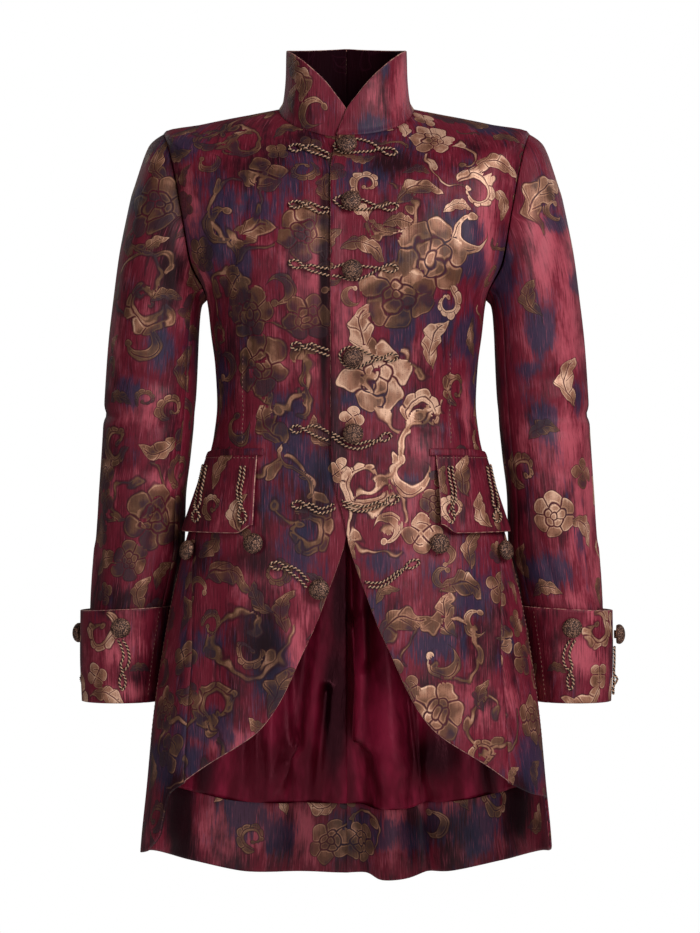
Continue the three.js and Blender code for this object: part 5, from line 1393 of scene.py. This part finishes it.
def twisted_cord(name, line, loop, place, materials):
    """Two strands laid round each other along a line on the cloth."""
    at, up = place(line[:, 0], line[:, 1], CORD["seat"] + CORD["radius"] + line[:, 2])
    count = len(at)
    before = np.roll(at, 1, 0) if loop else np.concatenate([at[:1], at[:-1]])
    after = np.roll(at, -1, 0) if loop else np.concatenate([at[1:], at[-1:]])
    along = unit(after - before)
    aside = unit(np.cross(along, up))
    above = np.cross(aside, along)
    length = np.concatenate([[0], np.cumsum(np.linalg.norm(np.diff(at, axis=0), axis=1))])
    whole = length[-1] + (np.linalg.norm(at[0] - at[-1]) if loop else 0)
    turns = max(1, round(whole / STRAND["pitch"]))
    angle = 2 * math.pi * turns * length / whole
    verts, faces, marks = [], [], []
    k = np.arange(STRAND["sides"])
    spans = count if loop else count - 1
    for strand in (0, 1):
        a = angle + math.pi * strand
        middle = at + STRAND["offset"] * (aside * np.cos(a)[:, None] + above * np.sin(a)[:, None])
        spin = 2 * math.pi * k / len(k)
        ring = (middle[:, None, :] + STRAND["radius"] * (aside[:, None, :] * np.cos(spin)[None, :, None]
                + above[:, None, :] * np.sin(spin)[None, :, None]))
        start = sum(len(v) for v in verts)
        verts.append(ring.reshape(-1, 3))
        i = np.arange(spans)[:, None]
        n = (i + 1) % count
        kk, kn = k[None, :], (k[None, :] + 1) % len(k)
        quads = np.stack([start + i * len(k) + kk, start + i * len(k) + kn,
                          start + n * len(k) + kn, start + n * len(k) + kk], -1).reshape(-1, 4)
        faces += quads.tolist()
        marks += [strand] * len(quads)
        if not loop:
            end = start + (count - 1) * len(k)
            faces += [[start + q for q in range(len(k) - 1, -1, -1)], [end + q for q in range(len(k))]]
            marks += [strand, strand]
    return make_mesh(name, np.concatenate(verts), faces, materials, marks)


STITCH = {"long": 2.6, "gap": 2.4, "radius": 0.3, "sides": 6}
# Along a stitch: share of its length, height over the cloth, share of its full radius
STITCH_RINGS = [(0, -0.15, 0.5), (0.2, 0.25, 1), (0.8, 0.25, 1), (1, -0.15, 0.5)]


def stitches(name, x, z, place, materials):
    """A row of short stitches along a line on the cloth, each a bent thread that dips in at its ends."""
    sides = STITCH["sides"]
    at, up = place(np.asarray(x, float), np.asarray(z, float), np.zeros(len(x)))
    long = np.concatenate([[0], np.cumsum(np.linalg.norm(np.diff(at, axis=0), axis=1))])
    starts = np.arange(0, long[-1] - STITCH["long"], STITCH["long"] + STITCH["gap"])
    verts, faces = [], []
    spin = 2 * math.pi * np.arange(sides) / sides
    for start in starts:
        base = len(verts) * sides
        for share, high, thick in STITCH_RINGS:
            where = start + share * STITCH["long"]
            middle = np.array([np.interp(where, long, at[:, k]) for k in range(3)])
            above = unit(np.array([np.interp(where, long, up[:, k]) for k in range(3)]))
            ahead = np.array([np.interp(where + 0.5, long, at[:, k]) for k in range(3)]) - middle
            aside = unit(np.cross(ahead + 1e-6, above))
            ring = aside * np.cos(spin)[:, None] + above * np.sin(spin)[:, None]
            verts.append(middle + above * high + ring * STITCH["radius"] * thick)
        last = base + (len(STITCH_RINGS) - 1) * sides
        for ring in range(base, last, sides):
            faces += [[ring + k, ring + (k + 1) % sides, ring + sides + (k + 1) % sides, ring + sides + k]
                      for k in range(sides)]
        faces += [[base + k for k in reversed(range(sides))], [last + k for k in range(sides)]]
    make_mesh(name, np.concatenate(verts), faces, materials)


# ---------- Forms of the cloth: how each piece swells, sinks and creases, in millimetres ----------
DART = {"x": 109, "wide": 2.2, "deep": 1.1}
TURN_MM = 2.6  # round the back, for one degree
CUFF_SEAM = 132  # its turn round the cuff


def front_form(side, p):
    x, z = p[..., 0], p[..., 2]
    dart = np.exp(-(((x - DART["x"]) / DART["wide"]) ** 2))
    dart = dart * smooth(-200, -225, z) * smooth(-372, -350, z)
    return strokes(x, z, FRONT_FOLDS + OWN_FOLDS[side]) - DART["deep"] * dart


def back_form(turn, p):
    """The creases of the back and the soft waves of the tails."""
    return strokes(np.abs(turn) * TURN_MM, p[..., 2], BACK_FOLDS)


def lining_fold(side, turn, p):
    """Folds of the satin, towards the inside, smaller where it is sewn to the facing."""
    fold = strokes(np.abs(turn) * TURN_MM, p[..., 2], LINING_FOLDS[side])
    return np.maximum(fold, 0) * mix(0.3, 1, smooth(-765, -715, p[..., 2]))


def facing_fold(side, turn, p):
    """Waves of the hem facing, towards the inside."""
    return np.maximum(strokes(np.abs(turn) * TURN_MM, p[..., 2], FACING_FOLDS[side]), 0)


def collar_form(side, turn, up):
    """The stand collar bows out a little between its seam and its edge."""
    return 0.7 * np.sin(np.pi * up) ** 2 * np.cos(np.radians(2.2 * turn + 20 * side))


def sleeve_form(turn, p):
    return strokes(np.where(turn > SLEEVE_SEAMS[1], turn - 360, turn), p[..., 2], SLEEVE_FOLDS)


def cuff_form(turn, down):
    """A soft roll at the top, and the sunk seam that closes the cuff."""
    seam = np.exp(-(((turn - CUFF_SEAM) / 1.6) ** 2))
    return 0.4 * np.sin(np.radians(3 * turn + 40)) * (1 - down) - 0.7 * seam


def flap_form(side, u, v):
    """The flap hangs a little proud of the hip at its front edge."""
    return 0.5 * np.sin(3.2 * u + side) * v + (2.6 + side) * (1 - smooth(0, 0.16, u)) * smooth(0, 0.4, v)


# Creases as strokes: from (across, height) to (across, height), half width, depth. Across is x on
# the fronts, the turn in millimetres on the back and tails, and the turn in degrees on the sleeves.
FRONT_FOLDS = [
    (58, -322, 98, -346, 6, -1.4), (66, -342, 112, -352, 5, 1.0), (112, -330, 150, -342, 7, -1.5),
    (106, -104, 130, -196, 6, -1.9), (120, -96, 146, -176, 7, 1.5), (84, -120, 112, -84, 9, 1.1),
    (40, -212, 62, -330, 12, -1.2), (22, -230, 34, -318, 9, 0.9), (104, -250, 132, -300, 10, -1.2),
    (60, -30, 96, -20, 7, -0.9), (112, -545, 128, -720, 13, 2.8), (84, -560, 104, -745, 12, -2.1),
    (142, -520, 158, -760, 14, -2.4), (58, -520, 70, -640, 10, 1.5), (34, -400, 46, -470, 9, -1.0),
]
OWN_FOLDS = {
    1: [(-14, -80, -14, -380, 7, 1.3), (20, -362, 88, -374, 6, 0.9), (12, -378, 60, -398, 6, -0.8),
        (14, -190, 52, -206, 5, 0.7), (14, -118, 60, -128, 6, -0.6), (70, -470, 92, -560, 9, 0.9)],
    -1: [(16, -366, 70, -384, 6, -0.9), (18, -282, 58, -290, 5, 0.7), (24, -128, 60, -140, 6, 0.7),
         (30, -492, 64, -560, 9, -1.1)],
}
BACK_FOLDS = [
    (290, -318, 372, -340, 7, -1.2), (330, -344, 424, -332, 6, -0.9), (400, -120, 330, -232, 13, 1.0),
    (312, -150, 300, -250, 8, -1.2), (296, -500, 304, -800, 17, -2.4), (336, -520, 348, -815, 15, 2.2),
    (382, -500, 392, -820, 16, -2.0), (424, -470, 432, -830, 13, 1.6), (262, -560, 270, -790, 12, 1.3),
    (446, -250, 440, -330, 8, -0.8), (380, -40, 330, -60, 9, -0.8),
]
LINING_FOLDS = {
    1: [(464, -430, 461, -560, 5, 20), (461, -560, 452, -690, 8, 27), (444, -620, 440, -700, 9, 10),
        (424, -560, 416, -765, 15, 17), (400, -650, 403, -766, 4, 13), (376, -540, 384, -745, 10, 8),
        (350, -640, 356, -760, 6, 11), (318, -600, 330, -750, 9, 9)],
    -1: [(446, -640, 440, -760, 5, 8), (424, -540, 412, -700, 11, 13), (398, -600, 402, -752, 7, 12),
         (372, -620, 380, -760, 6, 9), (342, -590, 352, -750, 9, 10), (412, -690, 396, -750, 4, 8)],
}
FACING_FOLDS = {
    1: [(446, -758, 444, -850, 12, 5), (420, -758, 416, -850, 8, 4), (348, -758, 340, -850, 16, 6),
        (300, -758, 296, -850, 12, 4), (392, -758, 390, -850, 6, 2)],
    -1: [(440, -758, 436, -850, 10, 4), (404, -758, 402, -850, 14, 5), (352, -758, 344, -850, 13, 5),
         (310, -758, 300, -850, 12, 4)],
}
SLEEVE_FOLDS = [
    (60, -288, 112, -302, 7, -3.1), (20, -306, 106, -320, 6, 1.7), (-30, -330, 96, -336, 6, -2.9),
    (46, -352, 110, -345, 6, -2.5), (84, -366, 112, -362, 5, 1.5), (-70, -318, -10, -350, 8, -2.5),
    (30, -384, 110, -398, 8, -1.9), (54, -120, 100, -196, 9, -2.2), (84, -110, 126, -190, 9, -2.4),
    (16, -96, 40, -200, 12, 1.5), (96, -430, 60, -500, 8, 1.9), (116, -440, 96, -530, 7, -2.2),
    (20, -440, 34, -520, 11, -2.0), (-40, -120, -60, -210, 12, -2.0), (-84, -300, -40, -290, 7, -2.0),
    (-96, -352, -30, -366, 7, -2.4), (-60, -430, -40, -510, 10, 2.0), (186, -330, 230, -340, 9, -0.5),
    (160, -440, 170, -520, 8, -1.5), (4, -480, -10, -536, 8, 1.4),
]

BROCADE = brocade()
SATIN = satin()
BLACK_YARN = yarn("black viscose cord yarn", ("#120706", "#241110"), 0.6, 0.0)
GOLD_YARN = yarn("gold lurex cord yarn", ("#7E4E3C", "#F4C8A4"), 0.45, 0.15)
THREAD = yarn("mercerised sewing thread", ("#6A3A3C", "#AC8068"), 0.5, 0.0)
BRASS = brass()
PIPING = piping()


def cut_piece(piece, node):
    """Hides the solid that a cut piece of cloth stands in for."""
    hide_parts(node)


BUTTON = {"radius": 11, "height": 12.3, "plate": 5.6, "seat": 2.6, "under": 5, "wire": 0.34, "sunk": 0.28,
          "shank_inset": 5.2, "round": 0.12}


def model_button():
    """A die-cast dome of pierced wirework on a thin plate and a round shank, standing on z = 0."""
    bpy.ops.object.select_all(action="DESELECT")
    bpy.ops.mesh.primitive_uv_sphere_add(segments=20, ring_count=14, radius=BUTTON["radius"] * MM)
    piece = bpy.context.object
    bpy.ops.object.mode_set(mode="EDIT")
    bpy.ops.mesh.select_all(action="SELECT")
    bpy.ops.mesh.bisect(plane_co=(0, 0, -BUTTON["under"] * MM), plane_no=(0, 0, 1), clear_inner=True,
                        use_fill=True)
    bpy.ops.mesh.select_all(action="SELECT")
    bpy.ops.transform.resize(value=(1, 1, (BUTTON["height"] - BUTTON["plate"]) / BUTTON["radius"]))
    bpy.ops.transform.translate(value=(0, 0, BUTTON["plate"] * MM))

    def choose(test):
        shape = bmesh.from_edit_mesh(piece.data)
        for face in shape.faces:
            face.select_set(bool(test(face)))
        bmesh.update_edit_mesh(piece.data)

    # the open cells of the wirework, then the plate and the shank under it
    bpy.ops.mesh.select_mode(type="FACE")
    choose(lambda face: face.normal.z > 0.12)
    bpy.ops.mesh.inset(thickness=BUTTON["wire"] * MM, depth=-BUTTON["sunk"] * MM, use_individual=True)
    choose(lambda face: face.normal.z < -0.9 and len(face.verts) > 8)
    bpy.ops.mesh.inset(thickness=BUTTON["shank_inset"] * MM)
    bpy.ops.mesh.extrude_region_move(TRANSFORM_OT_translate={"value": (0, 0, -BUTTON["seat"] * MM)})
    bpy.ops.mesh.select_all(action="SELECT")
    bpy.ops.mesh.normals_make_consistent(inside=False)
    bpy.ops.object.mode_set(mode="OBJECT")
    round_off = piece.modifiers.new("round", "BEVEL")
    round_off.width, round_off.segments, round_off.limit_method = BUTTON["round"] * MM, 1, "ANGLE"
    bpy.ops.object.modifier_apply(modifier="round")
    bpy.ops.object.shade_smooth()
    return piece


BUTTON_MODEL = model_button()


def button(name, node, at, up, spin):
    """A copy of the button with its own mesh, stood on the cloth."""
    mesh = BUTTON_MODEL.data.copy()
    mesh.name = name
    mesh.transform(Matrix.Translation(Vector(at) * MM) @ Vector(up).to_track_quat("Z", "Y").to_matrix().to_4x4()
                   @ Matrix.Rotation(spin, 4, "Z"))
    mesh.materials.clear()
    mesh.materials.append(BRASS)
    piece = bpy.data.objects.new(name, mesh)
    bpy.context.scene.collection.objects.link(piece)
    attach(piece, "root")
    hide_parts(node)


for side in (1, -1):
    hand = HAND[side]
    cloth = [BROCADE, SATIN, PIPING]
    faced = [BROCADE, BROCADE, PIPING]
    cut_piece(build_front(side, cloth), f"front_{hand}")
    cut_piece(build_side_back(side, cloth), f"side_back_{hand}")
    cut_piece(build_back(side, cloth), f"back_{hand}")
    cut_piece(tail_layer(f"satin_tail_{hand}", side, 0, 1 - FACING_SHARE, 110, lining_fold, "L", SATIN),
              f"tail_lining_{hand}")
    cut_piece(tail_layer(f"brocade_hem_facing_{hand}", side, 1 - FACING_SHARE, 1, 26, facing_fold, "H",
                         BROCADE), f"hem_facing_{hand}")
    cut_piece(build_collar(side, faced), f"collar_{hand}")
    cut_piece(build_sleeve("brocade_sleeve_upper", side, SLEEVE_SEAMS[1] - 360, SLEEVE_SEAMS[0], 84, cloth),
              f"sleeve_upper_{hand}")
    cut_piece(build_sleeve("brocade_sleeve_under", side, *SLEEVE_SEAMS, 30, cloth), f"sleeve_under_{hand}")
    cut_piece(build_cuff(side, faced), f"cuff_{hand}")
    cut_piece(build_flap(side, cloth), f"pocket_flap_{hand}")
    cut_piece(build_welt(side, faced), f"pocket_welt_{hand}")

def sewn_cord(name, node, marks, loop, place):
    """A cord sewn down along its marks, in place of its solid."""
    piece = twisted_cord(name, frog_line(*marks, loop), loop, place, [BLACK_YARN, GOLD_YARN])
    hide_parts(node)


def on_side(marks, side):
    """Marks mirrored for the right hand."""
    return [(x * side, z) for x, z in marks]


for side, frogs in ((1, LEFT_FROGS), (-1, RIGHT_FROGS)):
    hand = HAND[side]
    place = on_body(side, side < 0)
    for n, (go, cross, tip, back, *loop) in enumerate(frogs, 1):
        sewn_cord(f"cord_frog_{hand}_{n}", f"frog_{hand}_{n}", (go, cross, tip, back), bool(loop), place)
    for name, go, cross, tip, back in FLAP_CORDS:
        marks = on_side(go, side), *on_side([cross, tip], side), on_side(back, side)
        sewn_cord(f"cord_flap_{name}_{hand}", f"flap_cord_{name}_{hand}", marks, False, on_flap(side))
    for name, x, z in HIP_BUTTONS:
        at, up = place([x * side], [z], [BUTTON_SEAT])
        button(f"button_hip_{name}_{hand}", f"hip_button_{name}_{hand}", at[0], up[0], x)
    for name, turns, z, go, cross, tip, back in CUFF_TRIMS:
        place_cuff = on_cuff(side, turns[side], z)
        sewn_cord(f"cord_cuff_{name}_{hand}", f"cuff_cord_{name}_{hand}", (go, cross, tip, back), False,
                  place_cuff)
        at, up = place_cuff([0], [0], [BUTTON_SEAT])
        button(f"button_cuff_{name}_{hand}", f"cuff_button_{name}_{hand}", at[0], up[0], z * side)

# saddle stitches beside the side seams, along the flaps' tops and down the cuffs' seams
for side in (1, -1):
    hand = HAND[side]
    z = np.linspace(-505, -690, 60)
    x = skin(90 - 4.2 - 0 * z, ring_of(z))[:, 0]
    stitches(f"stitches_side_{hand}", x * side, z, on_body(side, False), [THREAD])
    z = np.linspace(-268, -366, 40)
    x = DART["x"] + 2.6 + 0 * z
    stitches(f"stitches_dart_{hand}", x * side, z, on_body(side, False), [THREAD])
    x = np.linspace(FLAP["start"] + 2, 158, 40)
    stitches(f"stitches_flap_{hand}", x * side, FLAP["top"] - 2.4 + 0 * x, on_flap(side), [THREAD])
    down = np.linspace(4, 98, 40)
    stitches(f"stitches_cuff_{hand}", 0 * down, down, on_cuff(side, CUFF_SEAM + 4, CUFF["top"]), [THREAD])

for n, (x, z) in enumerate(FRONT_BUTTONS, 1):
    at, up = on_body(1, False)([x], [z], [BUTTON_SEAT])
    button(f"button_front_{n}", f"front_button_{n}", at[0], up[0], n * 1.3)
at, up = on_body(-1, True)([RIGHT_EDGE_BUTTON[0]], [RIGHT_EDGE_BUTTON[1]], [BUTTON_SEAT + 0.8])
button("button_front_6", "front_button_6", at[0], up[0], 0.7)
bpy.data.objects.remove(BUTTON_MODEL)

# ---------- Floor, light and camera ----------

def stage_plane(name, verts, material):
    mesh = bpy.data.meshes.new(name)
    mesh.from_pydata(verts, [], [(0, 1, 2, 3)])
    mesh.materials.append(material)
    plane = bpy.data.objects.new(name, mesh)
    bpy.context.scene.collection.objects.link(plane)


world = bpy.data.worlds.new("white studio")
bpy.context.scene.world = world
bpy.context.scene.view_settings.view_transform = "Standard"
world.use_nodes = True
sky = world.node_tree
paper = add(sky, "ShaderNodeBackground", {"Color": (1, 1, 1, 1), "Strength": 1.0})
room = add(sky, "ShaderNodeBackground", {"Color": (1, 0.97, 0.96, 1), "Strength": 0.1})
shown = add(sky, "ShaderNodeLightPath", out="Is Camera Ray")
studio = add(sky, "ShaderNodeMixShader", (shown, room, paper))
sky.links.new(studio, sky.nodes["World Output"].inputs["Surface"])

FLOOR = -1.25
floor, _, floor_shader = new_material("white painted studio floor")
floor_shader.inputs["Base Color"].default_value = rgb("#F4F4F4")
floor_shader.inputs["Roughness"].default_value = 0.7
CORNERS = [(-1.5, -1.5), (1.5, -1.5), (1.5, 1.5), (-1.5, 1.5)]
stage_plane("studio_floor", [(x, y, FLOOR) for x, y in CORNERS], floor)


def soft_light(name, place, target, size, power):
    """A rectangular soft box, in metres and watts."""
    lamp = bpy.data.lights.new(name, "AREA")
    lamp.shape = "RECTANGLE"
    lamp.size, lamp.size_y = size
    lamp.energy = power
    holder = bpy.data.objects.new(name, lamp)
    bpy.context.scene.collection.objects.link(holder)
    holder.location = place
    holder.rotation_euler = (Vector(target) - Vector(place)).to_track_quat("-Z", "Y").to_euler()


soft_light("key_light", (1.7, -2.3, 1.1), (0, 0, -0.35), (1.1, 1.6), 74)
soft_light("fill_light", (-1.6, -2.5, -0.1), (0, 0, -0.5), (1.0, 1.2), 13)
soft_light("low_light", (0.5, -2.9, -1.1), (0, 0.1, -0.75), (0.6, 0.3), 12)
soft_light("rim_left", (-1.6, 1.6, 0.9), (0, 0, -0.4), (0.6, 1.6), 6)
soft_light("rim_right", (1.6, 1.6, 0.9), (0, 0, -0.4), (0.6, 1.6), 6)

# In picture rows: its height, the distance behind the lens, and how far the jacket stands off its middle
VIEW = {"tall": 933, "focus": 3853, "aside": 3.5, "down": -0.5}
camera = bpy.data.cameras.new("camera")
camera.sensor_fit = "VERTICAL"
camera.sensor_height = 36
camera.lens = camera.sensor_height * VIEW["focus"] / VIEW["tall"]
camera.shift_x = VIEW["aside"] / VIEW["tall"]
camera.shift_y = VIEW["down"] / VIEW["tall"]
camera.clip_end = 50
holder = bpy.data.objects.new("camera", camera)
holder.location = (0, -4.2, -0.388)
holder.rotation_euler = (math.pi / 2, 0, 0)
bpy.context.scene.collection.objects.link(holder)
bpy.context.scene.camera = holder
